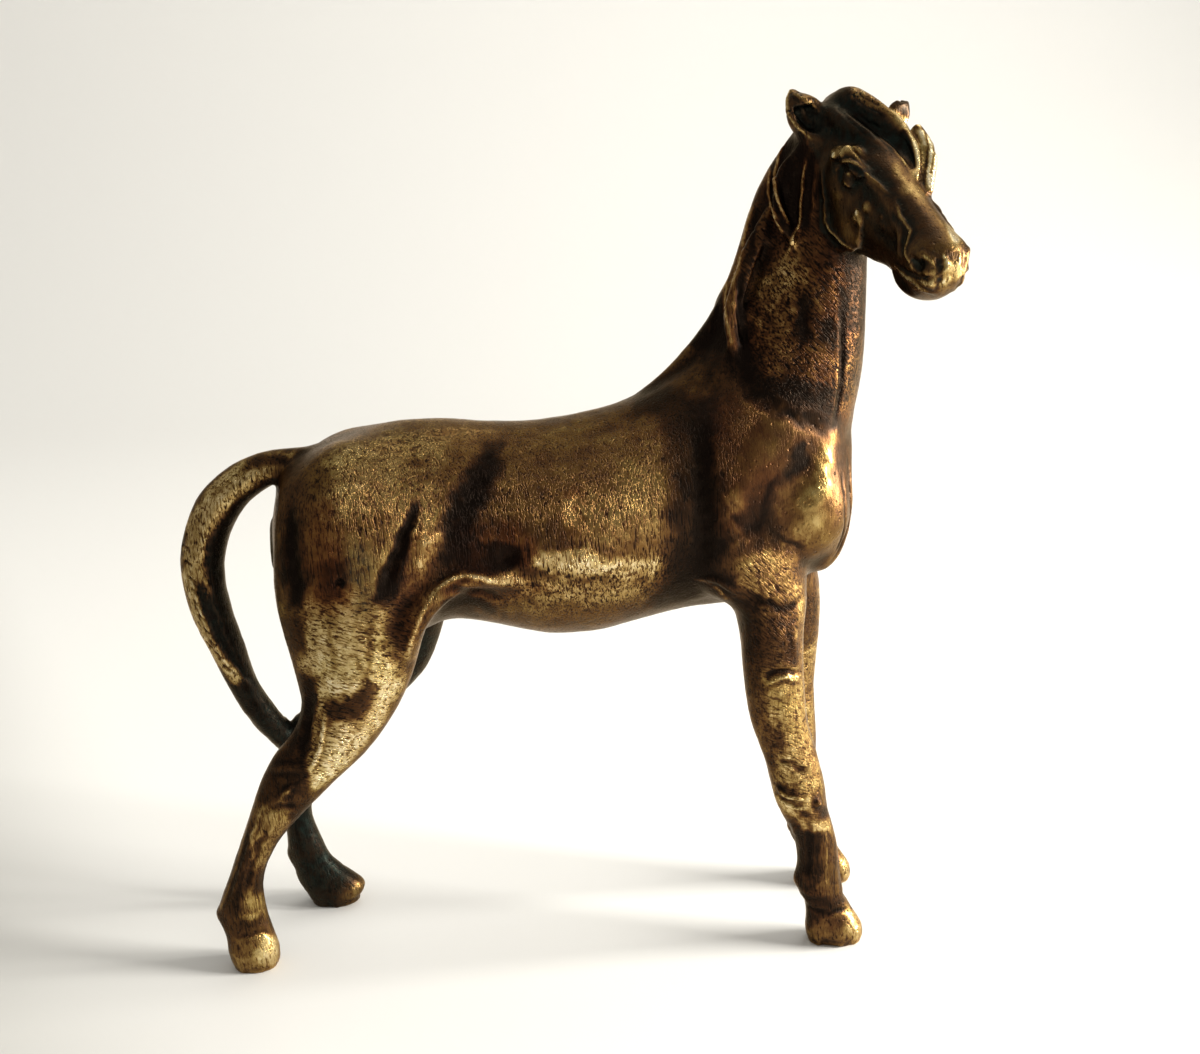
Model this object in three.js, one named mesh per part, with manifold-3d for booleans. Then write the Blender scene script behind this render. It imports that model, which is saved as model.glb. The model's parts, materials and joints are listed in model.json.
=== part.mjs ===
// A small cast bronze horse that stands square on its own four hooves, its head turned to its right.
// Millimetres. +X is forward, +Y is the horse's left, +Z is up, and z = 0 is the ground.
// The horse is one casting, so it is one closed body. Its muscles, limbs and locks are rounded
// forms that melt into each other, as wax does, and the skin around all of them is the mesh.
import * as THREE from "three";
import { mergeVertices } from "three/addons/utils/BufferGeometryUtils.js";
import Module from "manifold-3d";

// Driving dimensions: how far the poll leans to the right, the head's scale, turn, drop and tilt,
// the point where it joins the neck, and the middle of the footprint, which becomes the origin.
const NECK_LEAN = -3.2;
const HEAD_SCALE = 0.88;
const HEAD_TURN = THREE.MathUtils.degToRad(72);
const HEAD_DROP = THREE.MathUtils.degToRad(32.6);
const HEAD_TILT = THREE.MathUtils.degToRad(5);
const POLL = new THREE.Vector3(33.1, NECK_LEAN, 100.4);
const FOOTPRINT_CENTRE = new THREE.Vector2(-2.43, -6.19);
const LOCKS = 7;

// Skin dimensions: the grid cell, the number of faces left, how much finer the head and mane are
// meshed than the body, the height where they begin, and a distance that counts as outside.
const CELL = 0.55;
const TRIANGLES = 9400;
const HEAD_CARE = 7;
const HEAD_FROM = 84;
const FAR = 50;
const TOUCHING = 1e-6;
const JUST_INSIDE = 0.02;

// Signed distances: below zero inside. Two forms melt together over a width of "soft" millimetres.
function melt(a, b, soft) {
  if (soft <= 0) {
    return Math.min(a, b);
  }
  const near = Math.max(soft - Math.abs(a - b), 0) / soft;
  return Math.min(a, b) - (near * near * near * soft) / 6;
}

function ellipseDistance(u, v, halfU, halfV) {
  const near = Math.hypot(u / halfU, v / halfV);
  const slope = Math.hypot(u / (halfU * halfU), v / (halfV * halfV));
  return slope < 1e-9 ? -Math.min(halfU, halfV) : (near * (near - 1)) / slope;
}

// A limb or trunk as sections across one axis, "x" or "z". Each row is one oval section:
// its place along the axis, its low edge, its high edge, the y of its middle and its half width.
// "egg" makes the high edge wider than the low one, or narrower when it is negative.
function sections(axis, rows, { soft = 1.5, egg = 0 } = {}) {
  const places = rows.map((row) => row[0]);
  const values = rows.flatMap((row) => row.slice(1));
  const curve = new THREE.CubicInterpolant(places, values, 4, new Float32Array(4));
  const first = places[0];
  const last = places[places.length - 1];
  const reach = new THREE.Box3();
  for (const [place, low, high, middle, half] of rows) {
    for (const [across, y] of [[low, middle - half], [high, middle + half]]) {
      const point = new THREE.Vector3(place, y, across);
      if (axis === "z") {
        point.set(across, y, place);
      }
      reach.expandByPoint(point);
    }
  }
  const distance = (x, y, z) => {
    const place = axis === "x" ? x : z;
    const across = axis === "x" ? z : x;
    const [low, high, middle, half] = curve.evaluate(Math.min(Math.max(place, first), last));
    const halfAcross = Math.max((high - low) / 2, 0.05);
    const offset = across - (low + high) / 2;
    const lean = 1 + egg * Math.min(Math.max(offset / halfAcross, -1), 1);
    const inPlane = ellipseDistance(offset, y - middle, halfAcross, Math.max(half * lean, 0.05));
    const beyond = Math.max(first - place, place - last, 0);
    return beyond > 0 ? Math.hypot(Math.max(inPlane, 0), beyond) : inPlane;
  };
  return { reach, distance, soft };
}

// A muscle, knob or hollow: an ellipsoid with its half sizes, turned by Euler angles in degrees.
function ball(centre, halves, { soft = 1.5, turn = [0, 0, 0] } = {}) {
  const [rx, ry, rz] = halves;
  const angles = turn.map(THREE.MathUtils.degToRad);
  const back = new THREE.Quaternion().setFromEuler(new THREE.Euler(...angles)).invert();
  const middle = new THREE.Vector3(...centre);
  const size = Math.max(rx, ry, rz);
  const reach = new THREE.Box3(middle.clone().subScalar(size), middle.clone().addScalar(size));
  const local = new THREE.Vector3();
  const distance = (x, y, z) => {
    local.set(x, y, z).sub(middle).applyQuaternion(back);
    const near = Math.hypot(local.x / rx, local.y / ry, local.z / rz);
    const slope = Math.hypot(local.x / (rx * rx), local.y / (ry * ry), local.z / (rz * rz));
    return slope < 1e-9 ? -Math.min(rx, ry, rz) : (near * (near - 1)) / slope;
  };
  return { reach, distance, soft };
}

// A lock, tail, ridge or groove: a round rod along a smooth curve, each point [x, y, z, radius].
// "flat" thins it along the direction "facing".
function strand(points, { soft = 0.8, flat = 1, facing = [0, 1, 0], steps = 5 } = {}) {
  const places = points.map(([x, y, z]) => new THREE.Vector3(x, y, z));
  const path = new THREE.CatmullRomCurve3(places, false, "centripetal");
  const spans = points.length - 1;
  const normal = new THREE.Vector3(...facing).normalize();
  const reach = new THREE.Box3();
  const nodes = [];
  for (let i = 0; i <= spans * steps; i += 1) {
    const span = Math.min(Math.floor(i / steps), spans - 1);
    const part = i / steps - span;
    const radius = THREE.MathUtils.lerp(points[span][3], points[span + 1][3], part);
    const place = path.getPoint(i / (spans * steps));
    nodes.push({ place, radius });
    reach.expandByPoint(place.clone().addScalar(radius));
    reach.expandByPoint(place.clone().addScalar(-radius));
  }
  const offset = new THREE.Vector3();
  const along = new THREE.Vector3();
  const distance = (x, y, z) => {
    let best = FAR;
    for (let i = 0; i < nodes.length - 1; i += 1) {
      const from = nodes[i];
      const to = nodes[i + 1];
      along.subVectors(to.place, from.place);
      offset.set(x, y, z).sub(from.place);
      const part = Math.min(Math.max(offset.dot(along) / along.lengthSq(), 0), 1);
      offset.addScaledVector(along, -part);
      if (flat < 1) {
        const out = offset.dot(normal);
        offset.addScaledVector(normal, out / flat - out);
      }
      const radius = from.radius + (to.radius - from.radius) * part;
      best = Math.min(best, (offset.length() - radius) * flat);
    }
    return best;
  };
  return { reach, distance, soft };
}

// The same form taken away instead of added.
function hollow(form) {
  return { ...form, cut: true };
}

// The same form on both sides of the middle plane.
function pair(make) {
  return [make(-1), make(1)];
}

// The distance to several forms, added and taken away in their order.
function allTogether(forms) {
  return (x, y, z) => {
    let total = FAR;
    for (const { reach, distance, soft, cut } of forms) {
      const margin = soft + 2;
      const outside =
        x < reach.min.x - margin || x > reach.max.x + margin ||
        y < reach.min.y - margin || y > reach.max.y + margin ||
        z < reach.min.z - margin || z > reach.max.z + margin;
      if (!outside) {
        total = cut ? -melt(-total, distance(x, y, z), soft) : melt(total, distance(x, y, z), soft);
      }
    }
    return total;
  };
}

// Several forms modelled in a frame of their own, moved, turned and scaled as one.
function placed(matrix, forms, { soft = 1.5 } = {}) {
  const scale = matrix.getMaxScaleOnAxis();
  const back = matrix.clone().invert();
  const inside = allTogether(forms);
  const reach = new THREE.Box3();
  for (const form of forms) {
    reach.union(form.reach);
  }
  reach.applyMatrix4(matrix);
  const local = new THREE.Vector3();
  const distance = (x, y, z) => {
    local.set(x, y, z).applyMatrix4(back);
    return inside(local.x, local.y, local.z) * scale;
  };
  return { reach, distance, soft };
}

// Trunk: from the buttocks to the chest, with the croup, shoulder and breast muscles on it.
function trunk() {
  const barrel = sections("x", [
    [-34.8, 51, 58, 0, 3.4],
    [-33.8, 46, 62, 0, 7],
    [-31, 43, 64.6, 0, 8.8],
    [-26.5, 41, 66.4, 0, 10.2],
    [-20, 41, 68.2, 0, 10.8],
    [-14, 43.4, 68.5, 0, 9.8],
    [-8, 42.6, 68.0, 0, 9.6],
    [-2, 41.3, 68.2, 0, 10.5],
    [5, 41.6, 69.5, 0, 10.8],
    [11, 43.2, 71.6, 0, 10.2],
    [16, 44.2, 74.2, 0, 9.2],
    [22, 44.8, 75.4, 0, 8.8],
    [28, 46.2, 74, 0, 8.2],
    [32.4, 49.6, 70.5, 0, 6.8],
    [35.0, 54.5, 65.5, 0, 4.4],
  ]);
  return [
    barrel,
    ...pair((side) => ball([-24, side * 4.8, 58.4], [9, 5.8, 8.4], { soft: 3, turn: [0, -12, 0] })),
    ...pair((side) => ball([20.5, side * 5.4, 61.5], [6, 4.6, 12], { soft: 3, turn: [0, 32, 0] })),
    ...pair((side) => ball([29.8, side * 5.0, 57.5], [5, 4.4, 6], { soft: 3 })),
    ...pair((side) => ball([22, side * 6.4, 52.5], [6.5, 3.6, 6.5], { soft: 2.5 })),
    ...pair((side) => ball([31.8, side * 3.2, 56.5], [3.8, 3.3, 7.4], { soft: 1.4 })),
    ...pair((side) => strand([
      [-19, side * 8.4, 42.5, 1.4],
      [-17, side * 9.4, 47, 1.5],
      [-12.5, side * 9.2, 50.6, 1.3],
      [-6, side * 9.0, 50.8, 0.9],
    ], { soft: 2.2 })),
    ...grooves(),
  ];
}

// The long hollows between the muscles: behind the shoulder, down the flank, in front of the
// thigh, behind it, and down the middle of the breast.
function grooves() {
  const sides = pair((side) => [
    strand([
      [17, side * 10.6, 69, 1.0],
      [15.4, side * 11.4, 63, 1.3],
      [15.6, side * 11.4, 56, 1.3],
      [17.5, side * 10.8, 50, 1.0],
    ], { soft: 1.8 }),
    strand([
      [-7.4, side * 10.6, 67, 0.9],
      [-9.6, side * 11.4, 63, 1.2],
      [-12.2, side * 11.8, 57.5, 0.9],
    ], { soft: 2 }),
    strand([
      [-17, side * 11.4, 62, 0.8],
      [-18.8, side * 11.9, 57, 1.2],
      [-21, side * 11.8, 50, 0.8],
    ], { soft: 1.4 }),
    strand([
      [-33.6, side * 7.4, 62, 0.6],
      [-33.8, side * 9.2, 55, 1.0],
      [-33.2, side * 9.8, 48, 0.6],
    ], { soft: 1.6 }),
  ]);
  const breast = strand([
    [36.2, -0.6, 67, 0.5],
    [37, -0.4, 61, 1.0],
    [36, 0, 54, 1.0],
    [33.4, 0, 49, 0.8],
  ], { soft: 1.4 });
  return [...sides.flat(), breast].map(hollow);
}

// Neck: rising from the shoulders to the poll, with its crest at the back.
function neck() {
  return [
    sections("z", [
      [56, 7, 35, 0, 6.6],
      [62, 5.6, 35.6, 0, 8.0],
      [66, 6, 35.8, 0, 8.2],
      [69.5, 9, 36.2, 0, 7.9],
      [73, 14, 36.8, -0.1, 7.2],
      [77, 18, 37, -0.3, 6.5],
      [81, 20.4, 36.9, -0.7, 5.8],
      [86, 22.6, 36.6, -1.3, 5.2],
      [91, 24.2, 36.2, -1.9, 4.8],
      [96, 25.4, 35.4, -2.6, 4.4],
      [100.5, 27, 34, NECK_LEAN, 3.4],
    ], { soft: 3.5, egg: 0.22 }),
    hollow(strand([
      [34.6, -6.4, 84, 0.5],
      [34.4, -6.9, 79, 0.8],
      [34, -7.3, 74, 0.8],
      [32.5, -8, 69, 0.5],
    ], { soft: 1.2 })),
  ];
}

// Mane: a roll of hair on the crest, locks that hang down the left side, and two on the right.
function mane() {
  const crest = strand([
    [10.6, 0.8, 70.9, 0.9],
    [14.2, 0.9, 73.5, 1.3],
    [18, 0.8, 77.6, 1.5],
    [20.7, 0.5, 82, 1.6],
    [22.6, 0, 87, 1.6],
    [23.9, -0.8, 92, 1.7],
    [25.9, -1.6, 96.8, 1.8],
    [29, -2.4, 101.2, 1.9],
  ], { soft: 1.2 });
  const locks = [];
  for (let i = 0; i < LOCKS; i += 1) {
    const t = i / (LOCKS - 1);
    const x = THREE.MathUtils.lerp(16.4, 28, t) - 0.6 * Math.sin(Math.PI * t);
    const z = THREE.MathUtils.lerp(74, 99.6, t);
    const out = THREE.MathUtils.lerp(4.2, 1.4, t);
    locks.push(strand([
      [x + 0.6, 1.4 - t * 2.4, z + 0.6, 0.9],
      [x + 0.4, out * 0.7 + 0.6, z - 1.8, 1.3],
      [x + 1.8, out + 1.2, z - 5.2, 1.2],
      [x + 4, out + 1.8, z - 8.4, 0.3],
    ], { soft: 0.6, flat: 0.7 }));
  }
  return [
    crest,
    ...locks,
    strand([
      [28.8, -4.6, 99.8, 0.8],
      [26.3, -4.7, 97.8, 1.1],
      [25.2, -5.0, 94.8, 1.1],
      [25.4, -5.5, 92, 0.9],
      [26.8, -6.1, 88.8, 0.3],
    ], { soft: 0.5, flat: 0.7 }),
    strand([
      [24.4, -3.6, 93, 0.7],
      [22.4, -3.7, 88.6, 1.1],
      [20.8, -3.9, 84, 1.1],
      [20, -4.2, 80.4, 1.1],
      [20.4, -5.0, 76, 0.4],
    ], { soft: 0.5, flat: 0.7 }),
  ];
}

// Head, in a frame of its own: from the poll +x runs down the nose, +y to the horse's left,
// and +z out of the forehead.
function head() {
  const skull = sections("x", [
    [-4, -6, 2.0, 0, 3.0],
    [-1, -8.8, 3.6, 0, 4.4],
    [3, -10, 4.4, 0, 5.2],
    [7, -10, 4.5, 0, 5.2],
    [10.5, -9.7, 4.3, 0, 4.5],
    [13.5, -8.9, 3.8, 0, 3.7],
    [17, -7.4, 3.5, 0, 3.2],
    [20.5, -6.8, 3.2, 0, 3.1],
    [24, -6.6, 2.8, 0, 3.3],
    [26.8, -5.6, 2.1, 0, 3.0],
    [28.5, -3.6, 0.6, 0, 2.0],
  ], { soft: 1, egg: 0.24 });
  return [
    skull,
    ...pair((side) => ball([8.6, side * 3.2, -4.6], [5.4, 1.6, 4.6], { soft: 0.5, turn: [0, 25, 0] })),
    ...pair((side) => strand([
      [5.8, 0.4 + side * 5.4, 1.0, 0.7],
      [6.4, 0.4 + side * 5.7, 2.8, 1.0],
      [8.8, 0.4 + side * 5.5, 3.5, 1.1],
      [11.6, 0.2 + side * 4.5, 2.8, 0.8],
    ], { soft: 0.8 })),
    ...pair((side) => {
      const socket = ball([9.5, 0.2 + side * 5.7, 0.7], [2.1, 1.5, 1.4], { soft: 0.5, turn: [0, 15, 0] });
      const eye = ball([9.4, side * 4.3, 0.8], [1.4, 1.2, 1.1], { soft: 0.1 });
      return [hollow(socket), eye];
    }).flat(),
    ...pair((side) => ball([12.6, side * 3.9, -2.6], [1.0, 0.8, 1.0], { soft: 0.4 })),
    ...pair((side) => strand([
      [12.4, side * 3.4, 2.4, 0.6],
      [15.4, side * 2.8, 1.7, 0.6],
      [18.4, side * 2.7, 1.3, 0.6],
      [21, side * 3.0, 0.2, 0.7],
      [22.2, side * 3.2, -1.6, 0.6],
    ], { soft: 0.7 })),
    ...pair((side) => ball([24.8, side * 2.4, -0.4], [2.6, 1.5, 2.2], { soft: 0.8 })),
    ...pair((side) => {
      const nostril = ball([26, side * 3.5, -0.8], [1.2, 1.1, 0.8], { soft: 0.4, turn: [0, 30, 0] });
      return hollow(nostril);
    }),
    ball([26.9, 0, -1.6], [2.0, 2.6, 1.9], { soft: 1 }),
    ball([22.2, 0, -6.0], [3.4, 2.2, 1.4], { soft: 1 }),
    hollow(strand([
      [20.6, -3.4, -4.6, 0.25],
      [24.5, -3.5, -4.2, 0.45],
      [27.6, -2.5, -3.7, 0.45],
      [29.2, 0, -3.4, 0.45],
      [27.6, 2.5, -3.7, 0.45],
      [24.5, 3.5, -4.2, 0.45],
      [20.6, 3.4, -4.6, 0.25],
    ], { soft: 0.4 })),
    ...ears(),
    ...forelock(),
  ];
}

// Ears: cupped leaves that open forward, the right one laid further back than the left.
function ears() {
  const ear = (base, middle, tip, width) => {
    const leaf = { soft: 0.6, flat: 0.5, facing: [0.9, -0.1, 0.4] };
    const cup = (place, radius) => [place[0] + 1.0, place[1], place[2] + 0.4, radius];
    return [
      strand([[...base, width * 0.6], [...middle, width], [...tip, 0.5]], leaf),
      hollow(strand([cup(base, 0.3), cup(middle, width * 0.62), cup(tip, 0.2)], { ...leaf, soft: 0.4 })),
    ];
  };
  return [
    ...ear([1.4, -4.6, 1.6], [-1.8, -6.2, 3.5], [-5.6, -7.0, 5.0], 2.6),
    ...ear([0.6, 5.2, 2.0], [-0.6, 7.0, 3.3], [-2.2, 9.0, 4.2], 1.8),
  ];
}

// Forelock: a thick tuft between the ears that sweeps over the forehead to the left eye.
function forelock() {
  return [
    strand([
      [-3.8, -0.6, 2.9, 2.0],
      [-1.4, -0.2, 4.8, 2.3],
      [2, 1.1, 5.1, 2.1],
      [6, 2.7, 4.8, 1.6],
      [10, 3.1, 4.2, 1.1],
      [14, 1.6, 3.5, 0.5],
    ], { soft: 0.8 }),
    strand([
      [-2.4, -2.6, 3.6, 1.4],
      [1.4, -2.8, 4.2, 1.4],
      [5.4, -1.4, 4.4, 1.0],
      [9, 0.2, 4.2, 0.5],
    ], { soft: 0.5 }),
  ];
}

// The frame of the head: along the nose, to the left and out of the forehead.
function headFrame() {
  const nose = new THREE.Vector3(
    Math.cos(HEAD_DROP) * Math.cos(HEAD_TURN),
    -Math.cos(HEAD_DROP) * Math.sin(HEAD_TURN),
    -Math.sin(HEAD_DROP),
  );
  const left = new THREE.Vector3(Math.sin(HEAD_TURN), Math.cos(HEAD_TURN), 0);
  left.applyAxisAngle(nose, HEAD_TILT);
  const forehead = new THREE.Vector3().crossVectors(nose, left);
  return new THREE.Matrix4().makeBasis(nose, left, forehead)
    .scale(new THREE.Vector3(HEAD_SCALE, HEAD_SCALE, HEAD_SCALE)).setPosition(POLL);
}

// Foreleg: forearm, knee, cannon, fetlock, pastern and hoof. "ahead" moves it forward at the
// hoof, the knee, the forearm and the breast, and "apart" sets the hoof further out.
function foreLeg(side, ahead, apart) {
  const rows = [
    [-1, 31.2, 39.2, 7.2, 3.1],
    [0.6, 31, 39.2, 7.2, 3.0],
    [2.8, 31.1, 38.5, 7.1, 2.7],
    [4.9, 31.2, 37, 7.1, 2.2],
    [7.2, 30.0, 36, 7.1, 2.1],
    [9.3, 29.5, 35.5, 7.0, 2.3],
    [11.5, 29.8, 35.3, 7.0, 2.0],
    [15.7, 28.9, 34.5, 7.0, 2.1],
    [19, 27.0, 33.4, 7.0, 2.6],
    [22.1, 26.0, 33, 6.9, 2.8],
    [25.5, 25.2, 32.1, 6.9, 2.5],
    [30.4, 23.3, 30.6, 6.8, 2.5],
    [36, 22.2, 29.8, 6.6, 2.9],
    [42.3, 21.6, 29.6, 6.2, 3.4],
    [47, 20.6, 30.0, 5.7, 3.9],
    [53, 20, 29, 4.8, 3.9],
  ];
  const shift = new THREE.LinearInterpolant([0, 20, 40, 53], ahead, 1, new Float32Array(1));
  const moved = rows.map(([z, back, front, middle, half]) => {
    const [step] = shift.evaluate(z);
    return [z, back + step, front + step, side * (middle + apart * (1 - Math.max(z, 0) / 60)), half];
  });
  return [sections("z", moved, { soft: 2.5 })];
}

// Near hind leg: thigh, gaskin, hock, cannon, fetlock, pastern and hoof.
function nearHindLeg() {
  return [sections("z", [
    [-1, -42.8, -35.9, -7.2, 3.1],
    [0.4, -42.7, -36, -7.2, 3.0],
    [2.6, -42.8, -36.4, -7.1, 2.7],
    [4.7, -43.0, -37, -7.1, 2.2],
    [6.9, -43.9, -37.6, -7.0, 2.1],
    [8.9, -43.5, -37.9, -7.0, 2.3],
    [11.5, -42.4, -38, -7.0, 2.0],
    [17, -40.4, -35.6, -7.0, 2.1],
    [21, -38.9, -32.2, -7.0, 2.4],
    [25, -37.5, -28.2, -7.0, 2.7],
    [28.5, -35.6, -24.4, -6.9, 2.8],
    [31, -33.4, -22.4, -6.9, 2.9],
    [34.5, -32, -20.2, -6.8, 3.4],
    [38.4, -32.4, -18.4, -6.6, 4.0],
    [44, -33.8, -17, -6.2, 4.6],
    [50, -34.6, -14.6, -5.7, 5.1],
    [57, -33.7, -13, -5, 5.2],
  ], { soft: 2.5 })];
}

// Far hind leg: the same, with its foot set a little forward and turned out.
function farHindLeg() {
  return [sections("z", [
    [-1, -34.6, -29.4, 7.8, 2.7],
    [0.2, -34.7, -28.2, 7.8, 2.8],
    [1.6, -35.2, -27.0, 7.8, 2.8],
    [3, -36, -27.2, 7.7, 2.5],
    [5, -36.6, -29.6, 7.6, 2.2],
    [6.9, -37.2, -31.5, 7.5, 2.1],
    [9, -37.2, -32.3, 7.4, 2.2],
    [13.4, -37.4, -33.7, 7.3, 1.9],
    [18, -37.4, -32.8, 7.2, 2.0],
    [22, -37.2, -30.4, 7.2, 2.4],
    [25, -36.6, -28, 7.2, 2.7],
    [28.5, -34.4, -23.6, 7.1, 2.8],
    [31, -32.4, -20.4, 7.0, 2.9],
    [34.5, -31.2, -17.4, 6.9, 3.4],
    [38.4, -31.4, -15.8, 6.7, 4.0],
    [44, -33.0, -14.2, 6.2, 4.6],
    [50, -34.2, -13.6, 5.7, 5.1],
    [57, -33.6, -13, 5, 5.2],
  ], { soft: 2.5 })];
}

// Tail: it springs from the croup, arches back and comes down to the far hock.
function tail() {
  return [strand([
    [-28, 0, 63.0, 2.0],
    [-33, 0.2, 63.2, 1.9],
    [-37.4, 0.3, 61.8, 2.3],
    [-41.7, 0.4, 58.0, 2.7],
    [-44.1, 0.6, 51.5, 2.7],
    [-43.7, 1, 45, 2.5],
    [-42.1, 1.8, 39.4, 2.2],
    [-40.6, 3, 33.6, 1.8],
    [-38.4, 4.6, 28.6, 1.9],
    [-36.2, 6.2, 24.6, 1.6],
  ], { soft: 1.0 })];
}

// The distances at the nodes of a grid. A block of nodes that lies well away from the surface
// takes the distance at its middle.
function sample(distance, start, cell, counts) {
  const [nx, ny, nz] = counts;
  const block = 6;
  const clear = block * cell * 1.8;
  const field = new Float32Array(nx * ny * nz);
  for (let k0 = 0; k0 < nz; k0 += block) {
    for (let j0 = 0; j0 < ny; j0 += block) {
      for (let i0 = 0; i0 < nx; i0 += block) {
        const centre = new THREE.Vector3(i0, j0, k0).addScalar(block / 2).multiplyScalar(cell).add(start);
        const middle = distance(centre.x, centre.y, centre.z);
        for (let k = k0; k < Math.min(k0 + block, nz); k += 1) {
          for (let j = j0; j < Math.min(j0 + block, ny); j += 1) {
            for (let i = i0; i < Math.min(i0 + block, nx); i += 1) {
              field[i + nx * (j + ny * k)] = Math.abs(middle) > clear
                ? middle
                : distance(start.x + i * cell, start.y + j * cell, start.z + k * cell);
            }
          }
        }
      }
    }
  }
  return field;
}

// The closed skin of the horse: the grid of distances, one vertex in each cell that the skin
// crosses, and one four-sided face for each grid edge that it crosses.
function skin(distance, box, cell) {
  const size = box.getSize(new THREE.Vector3());
  const nx = Math.ceil(size.x / cell) + 3;
  const ny = Math.ceil(size.y / cell) + 3;
  const nz = Math.ceil(size.z / cell) + 3;
  const start = box.min.clone().subScalar(cell);
  const steps = [1, nx, nx * ny];
  const field = sample(distance, start, cell, [nx, ny, nz]);
  const corners = [];
  for (let c = 0; c < 8; c += 1) {
    corners.push((c & 1) * steps[0] + ((c >> 1) & 1) * steps[1] + ((c >> 2) & 1) * steps[2]);
  }
  closeDoubtfulCells(field, corners, [nx, ny, nz]);

  const positions = [];
  const vertexOfCell = new Int32Array(field.length).fill(-1);
  const point = new THREE.Vector3();
  for (let k = 0; k < nz - 1; k += 1) {
    for (let j = 0; j < ny - 1; j += 1) {
      for (let i = 0; i < nx - 1; i += 1) {
        const n = i + j * steps[1] + k * steps[2];
        const inside = corners.filter((offset) => field[n + offset] < 0).length;
        if (inside > 0 && inside < 8) {
          cellPoint(field, n, corners, point).multiplyScalar(cell);
          point.add(new THREE.Vector3(i, j, k).multiplyScalar(cell)).add(start);
          settle(point, distance, cell);
          vertexOfCell[n] = positions.length / 3;
          positions.push(point.x, point.y, point.z);
        }
      }
    }
  }
  const faces = [];
  for (let k = 1; k < nz - 1; k += 1) {
    for (let j = 1; j < ny - 1; j += 1) {
      for (let i = 1; i < nx - 1; i += 1) {
        const n = i + j * steps[1] + k * steps[2];
        for (let axis = 0; axis < 3; axis += 1) {
          const u = steps[(axis + 1) % 3];
          const v = steps[(axis + 2) % 3];
          const here = field[n] < 0;
          const there = field[n + steps[axis]] < 0;
          if (here !== there) {
            const ring = [n - u - v, n - v, n, n - u].map((cellIndex) => vertexOfCell[cellIndex]);
            const [a, b, c, d] = here ? ring : ring.reverse();
            faces.push(a, b, c, a, c, d);
          }
        }
      }
    }
  }
  return { positions, faces };
}

// The mean of the points where the skin crosses the cell's twelve edges, in cells.
function cellPoint(field, n, corners, point) {
  let count = 0;
  point.set(0, 0, 0);
  for (let a = 0; a < 8; a += 1) {
    for (const bit of [1, 2, 4]) {
      const b = a | bit;
      const low = field[n + corners[a]];
      const high = field[n + corners[b]];
      if (b !== a && low < 0 !== high < 0) {
        const part = low / (low - high);
        point.x += (a & 1) + (bit === 1 ? part : 0);
        point.y += ((a >> 1) & 1) + (bit === 2 ? part : 0);
        point.z += ((a >> 2) & 1) + (bit === 4 ? part : 0);
        count += 1;
      }
    }
  }
  return point.divideScalar(count);
}

// One short step that brings a vertex onto the true surface.
function settle(point, distance, cell) {
  const step = cell * 0.2;
  const here = distance(point.x, point.y, point.z);
  const slope = new THREE.Vector3(
    distance(point.x + step, point.y, point.z) - distance(point.x - step, point.y, point.z),
    distance(point.x, point.y + step, point.z) - distance(point.x, point.y - step, point.z),
    distance(point.x, point.y, point.z + step) - distance(point.x, point.y, point.z - step),
  ).divideScalar(2 * step);
  const move = THREE.MathUtils.clamp(-here / Math.max(slope.lengthSq(), 0.25), -cell * 0.4, cell * 0.4);
  point.addScaledVector(slope, move);
}

// A cell whose inside or outside corners fall in two groups would pinch the skin. The outside
// corners of such a cell or face are filled until none is left.
function closeDoubtfulCells(field, corners, [nx, ny, nz]) {
  const joined = (marks, wanted) => {
    const first = marks.indexOf(wanted);
    const reached = new Set([first]);
    for (const corner of reached) {
      for (const bit of [1, 2, 4]) {
        if (marks[corner ^ bit] === wanted) {
          reached.add(corner ^ bit);
        }
      }
    }
    return first < 0 || reached.size === marks.filter((mark) => mark === wanted).length;
  };
  const crossedFace = (marks) => [1, 2, 4].some((bit) => {
    const [p, q] = [1, 2, 4].filter((other) => other !== bit);
    return [0, bit].some((base) => marks[base] === marks[base | p | q] &&
      marks[base | p] === marks[base | q] && marks[base] !== marks[base | p]);
  });
  let filled = true;
  while (filled) {
    filled = false;
    for (let k = 0; k < nz - 1; k += 1) {
      for (let j = 0; j < ny - 1; j += 1) {
        for (let i = 0; i < nx - 1; i += 1) {
          const n = i + nx * (j + ny * k);
          const marks = corners.map((offset) => field[n + offset] < 0);
          const mixed = marks.includes(true) && marks.includes(false);
          if (mixed && (!joined(marks, true) || !joined(marks, false) || crossedFace(marks))) {
            for (const offset of corners) {
              field[n + offset] = Math.min(field[n + offset], -JUST_INSIDE);
            }
            filled = true;
          }
        }
      }
    }
  }
}

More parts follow.
